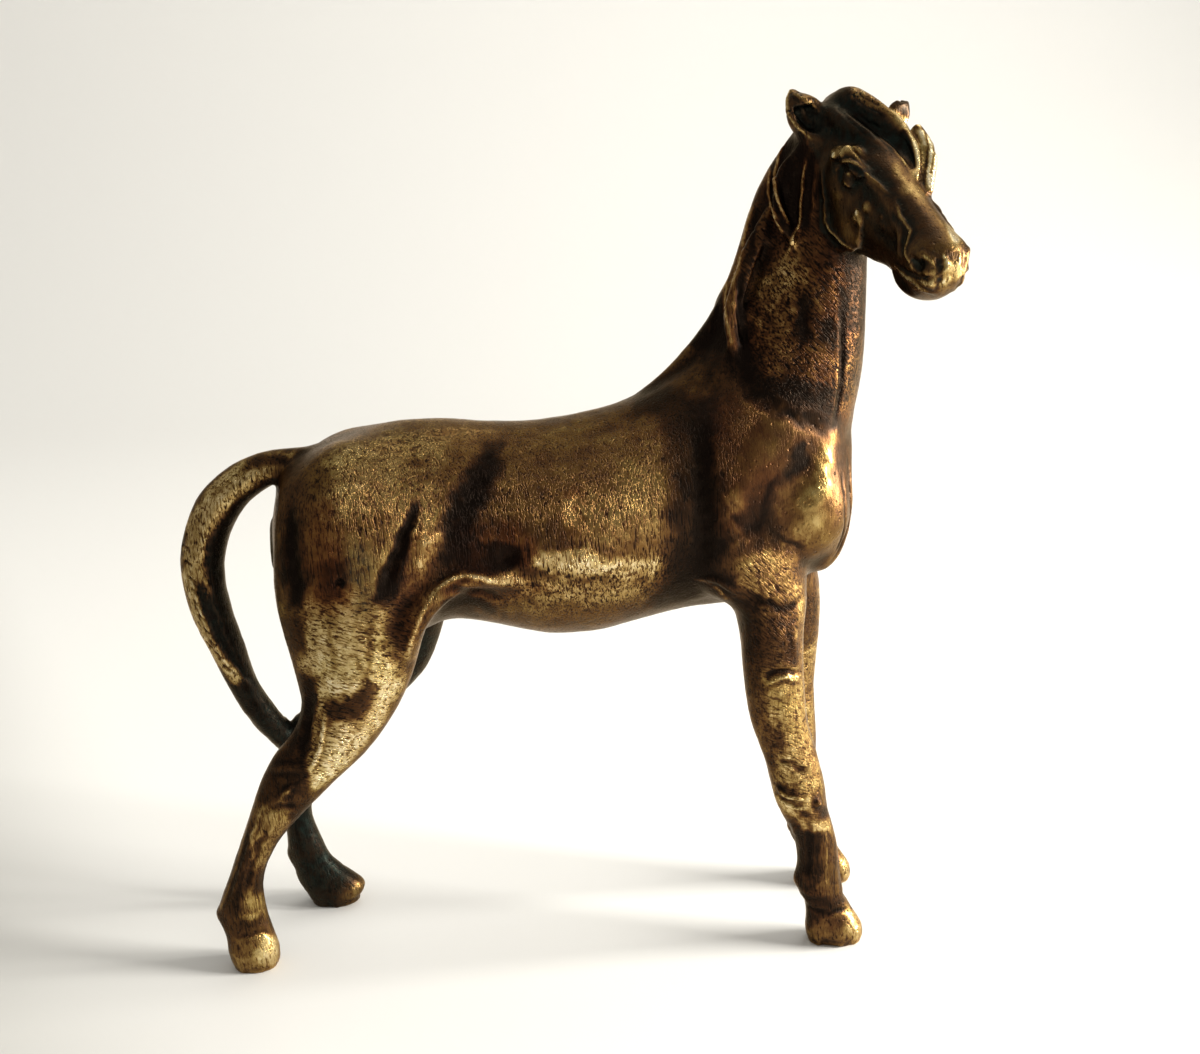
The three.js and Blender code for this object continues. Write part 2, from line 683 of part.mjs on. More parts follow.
// Thin a closed mesh: the edge whose loss changes the surface least goes first, until the wanted
// number of faces is left. "care" says how much more a place counts than the smooth flanks.
function thin({ positions, faces }, wanted, care) {
  const points = [];
  for (let i = 0; i < positions.length; i += 3) {
    points.push(new THREE.Vector3(positions[i], positions[i + 1], positions[i + 2]));
  }
  const triangles = [];
  const around = points.map(() => new Set());
  for (let i = 0; i < faces.length; i += 3) {
    const triangle = [faces[i], faces[i + 1], faces[i + 2]];
    triangle.forEach((vertex) => around[vertex].add(triangles.length));
    triangles.push(triangle);
  }
  const quadrics = points.map(() => new Float64Array(10));
  const normal = new THREE.Vector3();
  const edgeA = new THREE.Vector3();
  const edgeB = new THREE.Vector3();
  const areaNormal = (a, b, c) => {
    edgeA.subVectors(b, a);
    edgeB.subVectors(c, a);
    return normal.crossVectors(edgeA, edgeB);
  };
  for (const [a, b, c] of triangles) {
    areaNormal(points[a], points[b], points[c]);
    const area = normal.length();
    normal.normalize();
    const { x, y, z } = normal;
    const w = -normal.dot(points[a]);
    const plane = [x * x, x * y, x * z, x * w, y * y, y * z, y * w, z * z, z * w, w * w];
    for (const vertex of [a, b, c]) {
      const weight = area * care(points[vertex]);
      plane.forEach((value, index) => {
        quadrics[vertex][index] += value * weight;
      });
    }
  }
  const error = (q, p) =>
    q[0] * p.x * p.x + 2 * q[1] * p.x * p.y + 2 * q[2] * p.x * p.z + 2 * q[3] * p.x +
    q[4] * p.y * p.y + 2 * q[5] * p.y * p.z + 2 * q[6] * p.y +
    q[7] * p.z * p.z + 2 * q[8] * p.z + q[9];
  const bestPlace = (a, b) => {
    const q = quadrics[a].map((value, index) => value + quadrics[b][index]);
    const middle = points[a].clone().add(points[b]).multiplyScalar(0.5);
    const span = points[a].distanceTo(points[b]);
    const choices = [points[a], points[b], middle];
    const lift = new THREE.Matrix3().set(q[0], q[1], q[2], q[1], q[4], q[5], q[2], q[5], q[7]);
    const spread = q[0] + q[4] + q[7];
    if (lift.determinant() > 1e-4 * spread * spread * spread) {
      const free = new THREE.Vector3(-q[3], -q[6], -q[8]).applyMatrix3(lift.invert());
      if (free.distanceTo(middle) < span * 1.5) {
        choices.push(free);
      }
    }
    let best = { cost: Infinity, place: middle };
    for (const place of choices) {
      const cost = Math.max(error(q, place), 0) + 1e-4 * span * span;
      if (cost < best.cost) {
        best = { cost, place: place.clone() };
      }
    }
    return best;
  };
  const neighbours = (vertex) => {
    const ring = new Set();
    for (const face of around[vertex]) {
      triangles[face].forEach((other) => ring.add(other));
    }
    ring.delete(vertex);
    return ring;
  };
  const oldNormal = new THREE.Vector3();
  const folds = (vertex, other, place) => {
    for (const face of around[vertex]) {
      const triangle = triangles[face];
      if (!triangle.includes(other)) {
        const corners = triangle.map((index) => points[index]);
        oldNormal.copy(areaNormal(...corners)).normalize();
        areaNormal(...corners.map((corner, index) => (triangle[index] === vertex ? place : corner)));
        const longest = Math.max(edgeA.lengthSq(), edgeB.lengthSq());
        if (normal.length() < 0.04 * longest || normal.normalize().dot(oldNormal) < 0.4) {
          return true;
        }
      }
    }
    return false;
  };
  const version = new Int32Array(points.length);
  const queue = new CheapestFirst();
  const offer = (a, b) => {
    const { cost, place } = bestPlace(a, b);
    queue.push(cost, { a, b, place, age: version[a] + version[b] });
  };
  points.forEach((_, a) => {
    for (const b of neighbours(a)) {
      if (a < b) {
        offer(a, b);
      }
    }
  });
  let left = triangles.length;
  while (left > wanted && queue.size > 0) {
    const { a, b, place, age } = queue.pop();
    const gone = around[a].size === 0 || around[b].size === 0;
    if (!gone && age === version[a] + version[b]) {
      const ringA = neighbours(a);
      const ringB = neighbours(b);
      const shared = [...ringA].filter((vertex) => ringB.has(vertex)).length;
      if (ringA.has(b) && shared === 2 && !folds(a, b, place) && !folds(b, a, place)) {
        for (const face of [...around[b]]) {
          if (triangles[face].includes(a)) {
            triangles[face].forEach((vertex) => around[vertex].delete(face));
            triangles[face] = null;
            left -= 1;
          } else {
            triangles[face] = triangles[face].map((vertex) => (vertex === b ? a : vertex));
            around[a].add(face);
          }
        }
        around[b].clear();
        points[a].copy(place);
        quadrics[b].forEach((value, index) => {
          quadrics[a][index] += value;
        });
        version[a] += 1;
        for (const vertex of neighbours(a)) {
          offer(a, vertex);
        }
      }
    }
  }
  const kept = triangles.filter((triangle) => triangle !== null);
  const soup = kept.flatMap((triangle) => triangle.flatMap((vertex) => points[vertex].toArray()));
  const geometry = new THREE.BufferGeometry();
  geometry.setAttribute("position", new THREE.Float32BufferAttribute(soup, 3));
  return mergeVertices(geometry, TOUCHING);
}

// A binary heap that gives its cheapest entry first.
class CheapestFirst {
  constructor() {
    this.costs = [];
    this.entries = [];
  }

  get size() {
    return this.costs.length;
  }

  swap(i, j) {
    [this.costs[i], this.costs[j]] = [this.costs[j], this.costs[i]];
    [this.entries[i], this.entries[j]] = [this.entries[j], this.entries[i]];
  }

  push(cost, entry) {
    let i = this.costs.push(cost) - 1;
    this.entries.push(entry);
    while (i > 0 && this.costs[(i - 1) >> 1] > this.costs[i]) {
      this.swap(i, (i - 1) >> 1);
      i = (i - 1) >> 1;
    }
  }

  pop() {
    this.swap(0, this.costs.length - 1);
    this.costs.pop();
    const entry = this.entries.pop();
    let i = 0;
    let child = 1;
    while (child < this.costs.length) {
      if (child + 1 < this.costs.length && this.costs[child + 1] < this.costs[child]) {
        child += 1;
      }
      if (this.costs[i] <= this.costs[child]) {
        return entry;
      }
      this.swap(i, child);
      i = child;
      child = 2 * i + 1;
    }
    return entry;
  }
}

// The hooves are cut flat at the ground, so the figure stands on its soles.
async function cutSoles(geometry) {
  const wasm = await Module();
  wasm.setup();
  const solid = (source) => {
    const bare = new THREE.BufferGeometry();
    bare.setAttribute("position", source.getAttribute("position"));
    bare.setIndex(source.getIndex());
    const merged = mergeVertices(bare, TOUCHING);
    return new wasm.Manifold(new wasm.Mesh({
      numProp: 3,
      vertProperties: new Float32Array(merged.getAttribute("position").array),
      triVerts: new Uint32Array(merged.getIndex().array),
    }));
  };
  const depth = 10;
  const width = 300;
  const ground = new THREE.BoxGeometry(width, width, depth).translate(0, 0, -depth / 2);
  const { vertProperties, triVerts } = solid(geometry).subtract(solid(ground)).getMesh();
  const cut = new THREE.BufferGeometry();
  cut.setAttribute("position", new THREE.BufferAttribute(vertProperties, 3));
  cut.setIndex(new THREE.BufferAttribute(triVerts, 1));
  return cut;
}

const forms = [
  ...trunk(),
  ...neck(),
  ...mane(),
  ...foreLeg(-1, [0, 0, 0, 0], 0),
  ...foreLeg(1, [2.6, 2.0, 5.8, 2.6], 1.1),
  ...nearHindLeg(),
  ...farHindLeg(),
  ...tail(),
  placed(headFrame(), head(), { soft: 2 }),
];
const box = new THREE.Box3();
for (const form of forms) {
  box.union(form.reach);
}
box.expandByScalar(2 * CELL);
const fine = (point) => (point.z > HEAD_FROM ? HEAD_CARE : 1);
const whole = skin(allTogether(forms), box, CELL);
const geometry = await cutSoles(thin(whole, TRIANGLES, fine));
geometry.translate(-FOOTPRINT_CENTRE.x, -FOOTPRINT_CENTRE.y, 0);
geometry.computeVertexNormals();

const bronze = new THREE.MeshStandardMaterial({ color: 0x7a5f33, roughness: 0.42, metalness: 0.9 });
const horse = new THREE.Mesh(geometry, bronze);
horse.name = "horse";

const statuette = new THREE.Group();
statuette.add(horse);

export default statuette;
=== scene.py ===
# %% [markdown]
# # A small cast bronze horse
# The real thing is one solid casting, about 107 mm high. It was modelled in wax, cast, filed and
# brushed by hand, and then darkened, so its hollows are nearly black and its edges are bright.
# This lesson follows the same order: take the plain cast shape, lay extra wax on it, sculpt it
# with a few brushes, and at the end colour the metal. The sizes of the horse are in millimetres,
# with +X forward, +Y to its left and +Z up, and are turned into metres where Blender needs them.

# %% Load the cast shape
import json
import math

import bpy
import numpy as np
from mathutils import Matrix, Vector

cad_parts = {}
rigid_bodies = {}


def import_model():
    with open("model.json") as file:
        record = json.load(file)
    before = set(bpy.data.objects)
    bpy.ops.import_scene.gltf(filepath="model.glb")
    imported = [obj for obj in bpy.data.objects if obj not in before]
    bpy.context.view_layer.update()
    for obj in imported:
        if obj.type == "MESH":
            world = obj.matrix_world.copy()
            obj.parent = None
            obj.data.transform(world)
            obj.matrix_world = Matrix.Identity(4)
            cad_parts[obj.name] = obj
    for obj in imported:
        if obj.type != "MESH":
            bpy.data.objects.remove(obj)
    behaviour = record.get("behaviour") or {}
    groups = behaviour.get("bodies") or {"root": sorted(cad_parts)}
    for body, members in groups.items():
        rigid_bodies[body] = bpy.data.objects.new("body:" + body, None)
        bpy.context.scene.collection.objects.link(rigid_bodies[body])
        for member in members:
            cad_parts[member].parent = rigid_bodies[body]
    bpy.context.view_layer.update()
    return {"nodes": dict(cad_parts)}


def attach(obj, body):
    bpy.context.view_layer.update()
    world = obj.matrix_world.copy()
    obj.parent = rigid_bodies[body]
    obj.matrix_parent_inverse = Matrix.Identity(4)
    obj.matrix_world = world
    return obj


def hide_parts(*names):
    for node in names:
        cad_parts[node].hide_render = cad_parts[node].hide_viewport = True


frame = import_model()
MM = 0.001
MIDDLE = 6.2  # the y of the plane that halves the body
RIGHT, LEFT = -1, 1


def deselect_all():
    for other in list(bpy.context.selected_objects):
        other.select_set(False)


def pick(piece):
    deselect_all()
    piece.select_set(True)
    bpy.context.view_layer.objects.active = piece


def change(kind, **settings):
    """Adds a modifier to the horse, sets it up and applies it."""
    pick(horse)
    made = horse.modifiers.new(kind.lower(), kind)
    for name, value in settings.items():
        setattr(made, name, value)
    bpy.ops.object.modifier_apply(modifier=made.name)


# %% [markdown]
# ## The camera
# A camera close to a small thing gives the strong perspective of the photograph: the near hooves
# stand clearly lower in the picture than the far ones. It is placed by the point it looks at,
# its direction and its distance, as one would with a tape measure.

# %% Camera
LOOK_AT = Vector((7.1, 4.0, 55.1)) * MM
CAMERA_TURN = math.radians(-4.5)
CAMERA_HEIGHT = math.radians(14.1)
CAMERA_DISTANCE = 159.8 * MM

camera_data = bpy.data.cameras.new("camera")
camera_data.lens = 39.0
camera_data.sensor_width = 36.0
camera_data.clip_start = 0.005
camera_data.clip_end = 20
camera = bpy.data.objects.new("camera", camera_data)
bpy.context.scene.collection.objects.link(camera)
towards_camera = Vector((
    math.sin(CAMERA_TURN) * math.cos(CAMERA_HEIGHT),
    -math.cos(CAMERA_TURN) * math.cos(CAMERA_HEIGHT),
    math.sin(CAMERA_HEIGHT),
))
camera.location = LOOK_AT + towards_camera * CAMERA_DISTANCE
camera.rotation_euler = (-towards_camera).to_track_quat("-Z", "Y").to_euler()
bpy.context.scene.camera = camera
bpy.context.view_layer.update()
print("camera at", [round(v / MM, 1) for v in camera.location], "mm")

# %% [markdown]
# ## The frame of the head
# The head is turned and tilted, so it gets a frame of its own, with its origin at the poll: h
# runs down the nose, s to the horse's left and f out of the forehead. Its mirror plane is what
# carries a detail of the right cheek over to the left one.

# %% The frame of the head
HEAD_TURN = math.radians(72)
HEAD_DROP = math.radians(32.6)
HEAD_TILT = math.radians(5)
HEAD_SCALE = 0.88
POLL = Vector((35.53, 2.99, 100.4))

nose_way = Vector((
    math.cos(HEAD_DROP) * math.cos(HEAD_TURN),
    -math.cos(HEAD_DROP) * math.sin(HEAD_TURN),
    -math.sin(HEAD_DROP),
))
left_way = Vector((math.sin(HEAD_TURN), math.cos(HEAD_TURN), 0))
left_way = Matrix.Rotation(HEAD_TILT, 3, nose_way) @ left_way
forehead_way = nose_way.cross(left_way)


def head_point(h, s, f):
    """A point of the head, in millimetres of the whole horse."""
    return POLL + (nose_way * h + left_way * s + forehead_way * f) * HEAD_SCALE


print("the tip of the nose is at", [round(v, 1) for v in head_point(28.5, 0, -1)])

# %% [markdown]
# ## A working copy in fine wax
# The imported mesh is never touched. A copy has its loose triangles merged, is rounded by
# subdivision, and is then cut into even little squares by a voxel remesh, so every brush finds
# enough points to move. Extra wax, such as the eyeballs and the locks of hair, is added as
# closed balls and tubes before the remesh, which melts them into one skin.

# %% Copy, merge and round off
horse = bpy.data.objects.new("cast_horse", frame["nodes"]["horse"].data.copy())
bpy.context.scene.collection.objects.link(horse)
pick(horse)
bpy.ops.object.mode_set(mode="EDIT")
bpy.ops.mesh.select_all(action="SELECT")
bpy.ops.mesh.remove_doubles(threshold=1e-6)
bpy.ops.object.mode_set(mode="OBJECT")
change("SUBSURF", levels=2, render_levels=2)
print("rounded copy:", len(horse.data.vertices), "points")

# %% Extra wax: balls and tapered locks
extra = []


def wax_ball(centre, radii):
    """An eyeball or a knob on the head: a small ball, stretched along the head's directions."""
    deselect_all()
    bpy.ops.mesh.primitive_uv_sphere_add(segments=24, ring_count=12, radius=MM)
    ball = bpy.context.object
    turn = Matrix((nose_way, left_way, forehead_way)).transposed()
    ball.data.transform((turn @ Matrix.Diagonal(Vector(radii))).to_4x4())
    ball.data.transform(Matrix.Translation(head_point(*centre) * MM))
    extra.append(ball)


def wax_lock(points, on_head=False):
    """A lock of hair: a tapered round tube along points (x, y, z, radius), closed at its ends."""
    curve = bpy.data.curves.new("lock", "CURVE")
    curve.dimensions = "3D"
    curve.resolution_u = 8
    curve.bevel_depth = MM
    curve.bevel_resolution = 3
    curve.use_fill_caps = True
    line = curve.splines.new("NURBS")
    line.points.add(len(points) - 1)
    line.use_endpoint_u = True
    line.order_u = 3
    for knot, (x, y, z, radius) in zip(line.points, points):
        place = head_point(x, y, z) if on_head else Vector((x, y, z))
        knot.co = (*(place * MM), 1)
        knot.radius = radius
    lock = bpy.data.objects.new("lock", curve)
    bpy.context.scene.collection.objects.link(lock)
    pick(lock)
    bpy.ops.object.convert(target="MESH")
    extra.append(bpy.context.object)


for side in (RIGHT, LEFT):
    wax_ball((9.2, 0.1 + side * 4.35, 1.5), (1.25, 1.0, 1.0))
wax_lock([(6.0, 5.2, 5.6, 0.6), (8.0, 5.5, 4.8, 0.9), (10.0, 5.4, 4.1, 1.0), (12.0, 4.7, 3.4, 0.9),
          (14.0, 3.5, 2.8, 0.8), (16.0, 2.7, 2.4, 0.5)], on_head=True)
wax_lock([(-31.0, 13.3, 4.2, 0.6), (-31.9, 13.3, 3.7, 0.8), (-32.8, 13.3, 3.2, 0.5)])
print("pieces of extra wax:", len(extra))

# %% Melt it together
VOXEL = 0.2
SOFTENED_TIMES = 8

deselect_all()
for piece in extra:
    piece.select_set(True)
horse.select_set(True)
bpy.context.view_layer.objects.active = horse
bpy.ops.object.join()
change("REMESH", mode="VOXEL", voxel_size=VOXEL * MM)
change("SMOOTH", factor=0.5, iterations=SOFTENED_TIMES)
print("fine wax:", len(horse.data.vertices), "points")

# %% [markdown]
# ## The brushes
# Blender's own sculpt brushes need a hand on a mouse. The same stroke can be written down: a
# smooth line laid on the surface, a width, and how far the wax rises under the line. Each point
# within the width moves along its own normal, most at the line and not at all at the rim, and
# no stroke is quite even along its way.

# %% Read the surface, and put it back
PICTURE_WIDTH = 1200
PICTURE_MIDDLE = (600, 527)


def in_picture(points):
    """Where points land in the picture, in its own dots, and how far from the camera they are."""
    to_camera = np.array(camera.matrix_world.inverted())
    seen = points * MM @ to_camera[:3, :3].T + to_camera[:3, 3]
    scale = PICTURE_WIDTH * camera_data.lens / camera_data.sensor_width / -seen[:, 2]
    spots = PICTURE_MIDDLE + seen[:, :2] * (1, -1) * scale[:, None]
    return spots, -seen[:, 2] / MM


def read_surface():
    """Takes the points and normals out of the mesh, and sorts the points along x."""
    global places, facing, order, sorted_x, drawn, depth
    horse.data.update()
    count = len(horse.data.vertices)
    flat = np.empty(count * 3, np.float32)
    horse.data.vertices.foreach_get("co", flat)
    places = flat.reshape(-1, 3).astype(float) / MM
    horse.data.vertices.foreach_get("normal", flat)
    facing = flat.reshape(-1, 3).astype(float)
    order = np.argsort(places[:, 0])
    sorted_x = places[order, 0]
    drawn, depth = in_picture(places)


def put_back():
    """Gives the mesh the moved points, and reads its new normals."""
    horse.data.vertices.foreach_set("co", (places * MM).astype(np.float32).ravel())
    read_surface()


def inside_box(low, high):
    """The numbers of the points between two corners."""
    first, last = np.searchsorted(sorted_x, (low[0], high[0]))
    found = order[first:last]
    kept = ((places[found] > low) & (places[found] < high)).all(axis=1)
    return found[kept]


# %% Lay a line on the surface
def smooth_line(knots, gap=0.3):
    """Points about every gap along a smooth line through the knots."""
    knots = np.array(knots, float)
    if len(knots) == 1:
        return knots
    ends = [2 * knots[0] - knots[1]], [2 * knots[-1] - knots[-2]]
    all_knots = np.concatenate([ends[0], knots, ends[1]])
    line = []
    for a, b, c, d in zip(all_knots, all_knots[1:], all_knots[2:], all_knots[3:]):
        for t in np.arange(0, 1, 1 / max(1, round(np.linalg.norm(c - b) / gap))):
            line.append(0.5 * (2 * b + (c - a) * t + (2 * a - 5 * b + 4 * c - d) * t ** 2
                               + (3 * b - a - 3 * c + d) * t ** 3))
    return np.array(line + [knots[-1]])


def on_body(knots, side):
    """A line given by x and z, as seen from the right or the left, laid on the body."""
    line = []
    for x, z in smooth_line(knots, 0.8):
        found = inside_box((x - 0.3, -99, z - 0.3), (x + 0.3, 99, z + 0.3))
        found = found[side * facing[found, 1] > 0.1]
        if len(found):
            line.append(places[found[np.argmax(side * places[found, 1])]])
    return smooth_line(line) if line else np.zeros((0, 3))


def on_skin(knots, reach=2.0):
    """A line given by points near the surface, laid on the nearest surface."""
    line = []
    for knot in smooth_line(knots, 0.8):
        found = inside_box(knot - reach, knot + reach)
        if len(found):
            line.append(places[found[np.argmin(((places[found] - knot) ** 2).sum(axis=1))]])
    return smooth_line(line) if line else np.zeros((0, 3))


def through_camera(knots):
    """A line given by places in the picture, laid on the first surface behind them."""
    line = []
    for x, y in smooth_line(knots, 5):
        found = np.flatnonzero(np.abs(drawn[:, 0] - x) < 1.6)
        found = found[np.abs(drawn[found, 1] - y) < 1.6]
        if len(found):
            line.append(places[found[np.argmin(depth[found])]])
    return smooth_line(line) if line else np.zeros((0, 3))


HEAD_AXES = np.array((nose_way, left_way, forehead_way))


def other_cheek(points):
    """The mirror image of points of the head, across the plane through its nose and poll."""
    local = (points - np.array(POLL)) @ HEAD_AXES.T
    return points - 2 * local[:, 1:2] * HEAD_AXES[1]


def on_both_cheeks(knots):
    """A line seen on the right cheek, and the same line on the left one."""
    line = through_camera(knots)
    return [line, on_skin(other_cheek(line))] if len(line) else []


def on_both_sides(knots):
    """A line seen on the right side of the body, and its mirror image on the left side."""
    line = through_camera(knots)
    other = line * (1, -1, 1) + (0, 2 * MIDDLE, 0)
    return [line, on_skin(other)] if len(line) else []


# %% The stroke itself
def uneven(spots):
    """A slow wave through space, between about 0.6 and 1.1, so that no stroke is quite even."""
    wave = np.sin(spots @ (1.9, 2.3, 1.1) + 0.4) + np.sin(spots @ (-1.3, 0.9, 2.9) + 1.7)
    return 0.85 + 0.09 * wave + 0.05 * np.sin(spots @ (5.1, -4.3, 3.7))


def under_brush(line, width, sharp=1.0, taper=True):
    """The points within width of the line, and how strongly the brush works on each of them."""
    if len(line) == 0:
        return np.zeros(0, int), np.zeros(0)
    near = inside_box(line.min(axis=0) - width, line.max(axis=0) + width)
    spots = places[near]
    closest = np.full(len(near), np.inf)
    along = np.zeros(len(near))
    if len(line) == 1:
        line = np.repeat(line, 2, axis=0)
    steps = len(line) - 1
    for i in range(steps):
        way = line[i + 1] - line[i]
        length = max(way @ way, 1e-9)
        part = np.clip(((spots - line[i]) @ way) / length, 0, 1)
        gap = ((spots - line[i] - part[:, None] * way) ** 2).sum(axis=1)
        better = gap < closest
        closest[better] = gap[better]
        along[better] = (i + part[better]) / steps
    strength = np.clip(1 - np.sqrt(closest) / width, 0, 1)
    strength = (strength * strength * (3 - 2 * strength)) ** sharp
    if taper and steps > 1:
        strength *= np.clip(np.minimum(along, 1 - along) * 4 + 0.1, 0, 1)
    strength *= uneven(spots)
    kept = strength > 0
    return near[kept], strength[kept]


def stroke(line, width, height, sharp=1.0, taper=True):
    """Raises the wax along the line by height, or carves it where height is negative."""
    found, strength = under_brush(line, width, sharp, taper)
    if len(found) == 0:
        return
    way = facing[found].T @ strength
    # what faces another way than most of the stroke, such as a far wall, stays where it is
    agree = np.clip(facing[found] @ (way / max(np.linalg.norm(way), 1e-9)) * 2 + 0.6, 0, 1)
    places[found] += facing[found] * (strength * agree * height)[:, None]


def lay_on_both(strokes, carry=on_body):
    """Lays each stroke on the right side of the horse, and then each on the left side."""
    for side in (RIGHT, LEFT):
        for knots, width, height in strokes:
            stroke(carry(knots, side), width, height, taper=len(knots) > 2)


def lay_on_cheeks(strokes):
    """Lays each stroke where it is seen on the head, and on the other side of the head."""
    for knots, width, height in strokes:
        for line in on_both_cheeks(knots):
            stroke(line, width, height, taper=len(knots) > 2)


read_surface()
print("the brushes work on", len(places), "points")

# %% [markdown]
# ## The head
# The face is small, so its forms are thin lines of wax: a curled brow with a knob at its rear,
# lids around the eyeball, a sharp edge to the cheek, a wavy bone down the face, and soft lumps
# for lips and nostrils. Each stroke is drawn where it is seen in the picture, and mirrored to
# the left cheek, which the photograph doesn't show and which is taken to be alike.

# %% Brows, lids, cheeks and muzzle
FACE = [  # the knots in the picture, width, height
    ([(836, 163), (846, 157), (858, 161), (868, 170), (878, 180)], 0.9, -0.25),
    ([(842, 181), (840, 173), (848, 167), (858, 169), (864, 176), (858, 184), (848, 188)],
     0.65, -0.35),
    ([(837, 155), (843, 149), (850, 147), (857, 150), (865, 157)], 0.85, 0.42),
    ([(843, 158), (850, 155), (858, 159)], 0.4, -0.15),
    ([(833, 157)], 0.6, 0.40),
    ([(840, 156)], 0.5, 0.25),
    ([(836, 169), (840, 164), (847, 161), (855, 163), (862, 168), (868, 174), (875, 181),
      (882, 188), (889, 194)], 0.36, 0.28),
    ([(849, 174)], 0.6, 0.15),
    ([(843, 181), (846, 186), (850, 189)], 0.32, 0.22),
    ([(816, 165), (816, 190), (818, 212), (822, 232), (836, 247), (850, 256)], 0.7, -0.25),
    ([(820, 165), (821, 178), (823, 195), (824, 210), (824, 222)], 0.30, 0.15),
    ([(823, 216), (825, 223), (830, 231), (838, 240), (846, 247), (853, 251)], 0.36, 0.32),
    ([(826, 217)], 0.4, 0.2),
    ([(857, 250), (858, 240), (859, 230), (858, 220), (856, 212)], 0.5, 0.20),
    ([(856, 212)], 0.5, 0.30),
    ([(866, 208)], 0.9, 0.35),
    ([(881, 217)], 0.4, 0.18),
    ([(872, 232), (884, 238), (896, 244)], 1.3, -0.25),
    ([(888, 205), (893, 218), (900, 230), (900, 246), (901, 260)], 0.7, -0.25),
    ([(894, 198), (897, 207), (900, 216), (906, 225), (910, 231), (908, 239), (905, 247),
      (905, 256), (909, 263), (914, 271)], 0.36, 0.30),
    ([(921, 264)], 0.9, -0.35),
    ([(914, 257), (921, 255), (929, 259), (935, 266)], 0.6, 0.20),
    ([(944, 254), (946, 260), (950, 267)], 0.5, 0.22),
    ([(937, 258), (939, 266), (942, 273)], 0.7, -0.18),
    ([(893, 266), (900, 272), (908, 280), (917, 287), (926, 292), (938, 295)], 0.55, 0.28),
    ([(899, 268), (907, 273), (916, 277), (926, 279), (935, 277)], 0.5, -0.25),
    ([(914, 272), (922, 273), (931, 272)], 0.6, 0.18),
    ([(922, 285), (930, 287)], 0.8, 0.2),
    ([(941, 281), (937, 290)], 0.5, -0.18),
    ([(948, 281)], 0.8, 0.2),
]
lay_on_cheeks(FACE)
put_back()
print("face strokes:", 2 * len(FACE))

# %% Ears and forelock
EARS = [
    ([(791, 97), (796, 108), (803, 117), (812, 125), (820, 130)], 0.9, -0.45),
    ([(790, 88), (787, 95), (786, 104), (787, 112), (791, 120), (797, 127), (804, 133),
      (810, 138)], 0.36, 0.28),
    ([(791, 89), (797, 95), (804, 100), (811, 105), (818, 111)], 0.36, 0.25),
    ([(800, 108), (806, 116), (812, 121)], 0.5, 0.2),
]
lay_on_cheeks(EARS)
FORELOCK = [
    ([(896, 131), (902, 139), (907, 148), (911, 158), (915, 168)], 0.8, -0.65),
    ([(880, 122), (888, 130), (897, 142), (905, 154)], 1.2, -0.25),
    ([(850, 87), (860, 91), (870, 97), (880, 104), (889, 110), (897, 115), (904, 122),
      (909, 132)], 1.0, 0.30),
    ([(856, 100), (868, 108), (880, 113)], 0.4, 0.2),
    ([(866, 92), (870, 99)], 0.3, -0.18),
    ([(858, 88), (861, 96)], 0.3, -0.15),
    ([(876, 99), (879, 107)], 0.3, -0.15),
    ([(852, 94), (862, 103), (874, 110), (886, 115)], 0.3, -0.2),
    ([(856, 92), (868, 100), (880, 106)], 0.25, -0.15),
    ([(878, 134), (886, 141), (894, 149), (902, 158), (910, 167)], 0.35, 0.2),
    ([(838, 95), (842, 108), (850, 120), (862, 130), (876, 138)], 0.4, -0.15),
    ([(846, 90), (850, 104), (860, 118), (874, 127), (888, 134)], 0.35, -0.12),
]
for knots, width, height in FORELOCK:
    stroke(through_camera(knots), width, height)
put_back()
print("strokes on the ears and the forelock:", 2 * len(EARS) + len(FORELOCK))

# %% [markdown]
# ## The mane and the neck
# The mane lies over the crest, and three thin ribbons of it hang on the near side, each with
# sharp raised rims. Behind them a long narrow strip runs down the rear of the neck. In front are
# the jugular groove and, where neck meets shoulder, a ragged hollow.

# %% Locks of the mane
RIBBONS = [  # the knots in the picture, width, height
    ([(786, 139), (780, 151), (776, 165), (774, 180), (776, 195), (780, 207), (785, 216),
      (789, 222)], 0.40, 0.40),
    ([(769, 170), (768, 185), (769, 200), (772, 211), (776, 222), (781, 232), (785, 240)],
     0.36, 0.38),
    ([(805, 160), (804, 170), (802, 182), (801, 194), (800, 206), (800, 218), (797, 228),
      (793, 238), (789, 248), (785, 258)], 0.36, 0.38),
    ([(726, 283), (724, 298), (725, 315), (728, 330), (731, 343)], 0.28, 0.25),
    ([(752, 206), (746, 224), (742, 245), (737, 268), (731, 284)], 0.5, 0.15),
]
GAPS = [
    ([(771, 176), (771, 192), (774, 204), (779, 214), (785, 225)], 0.32, -0.35),
    ([(792, 150), (786, 170), (785, 190), (790, 210), (796, 222)], 0.9, -0.35),
    ([(811, 165), (809, 185), (807, 205), (806, 225)], 0.7, -0.30),
    ([(742, 275), (740, 295), (740, 315), (743, 335), (748, 352)], 0.6, -0.35),
    ([(757, 210), (753, 230), (751, 255)], 0.5, -0.15),
    ([(718, 300), (714, 320), (712, 338)], 0.6, -0.25),
]
for knots, width, height in GAPS + RIBBONS:
    stroke(through_camera(knots), width, height)
put_back()
print("strokes on the mane:", len(GAPS) + len(RIBBONS))

# %% The neck
NECK = [  # the knots (x, z), width, height
    ([(35.2, 82.0), (35.6, 77.5), (35.7, 74.0), (35.4, 70.4), (34.8, 67.7)], 0.7, -0.35),
    ([(30.5, 82.8), (30.5, 80.7), (30.7, 78.4)], 1.0, -0.2),
    ([(22.7, 75.0), (24.6, 72.3), (26.8, 70.9), (28.9, 70.0), (31.7, 68.9), (34.2, 67.8)],
     1.6, -0.35),
]
lay_on_both(NECK)
put_back()
print("strokes on the neck:", 2 * len(NECK))

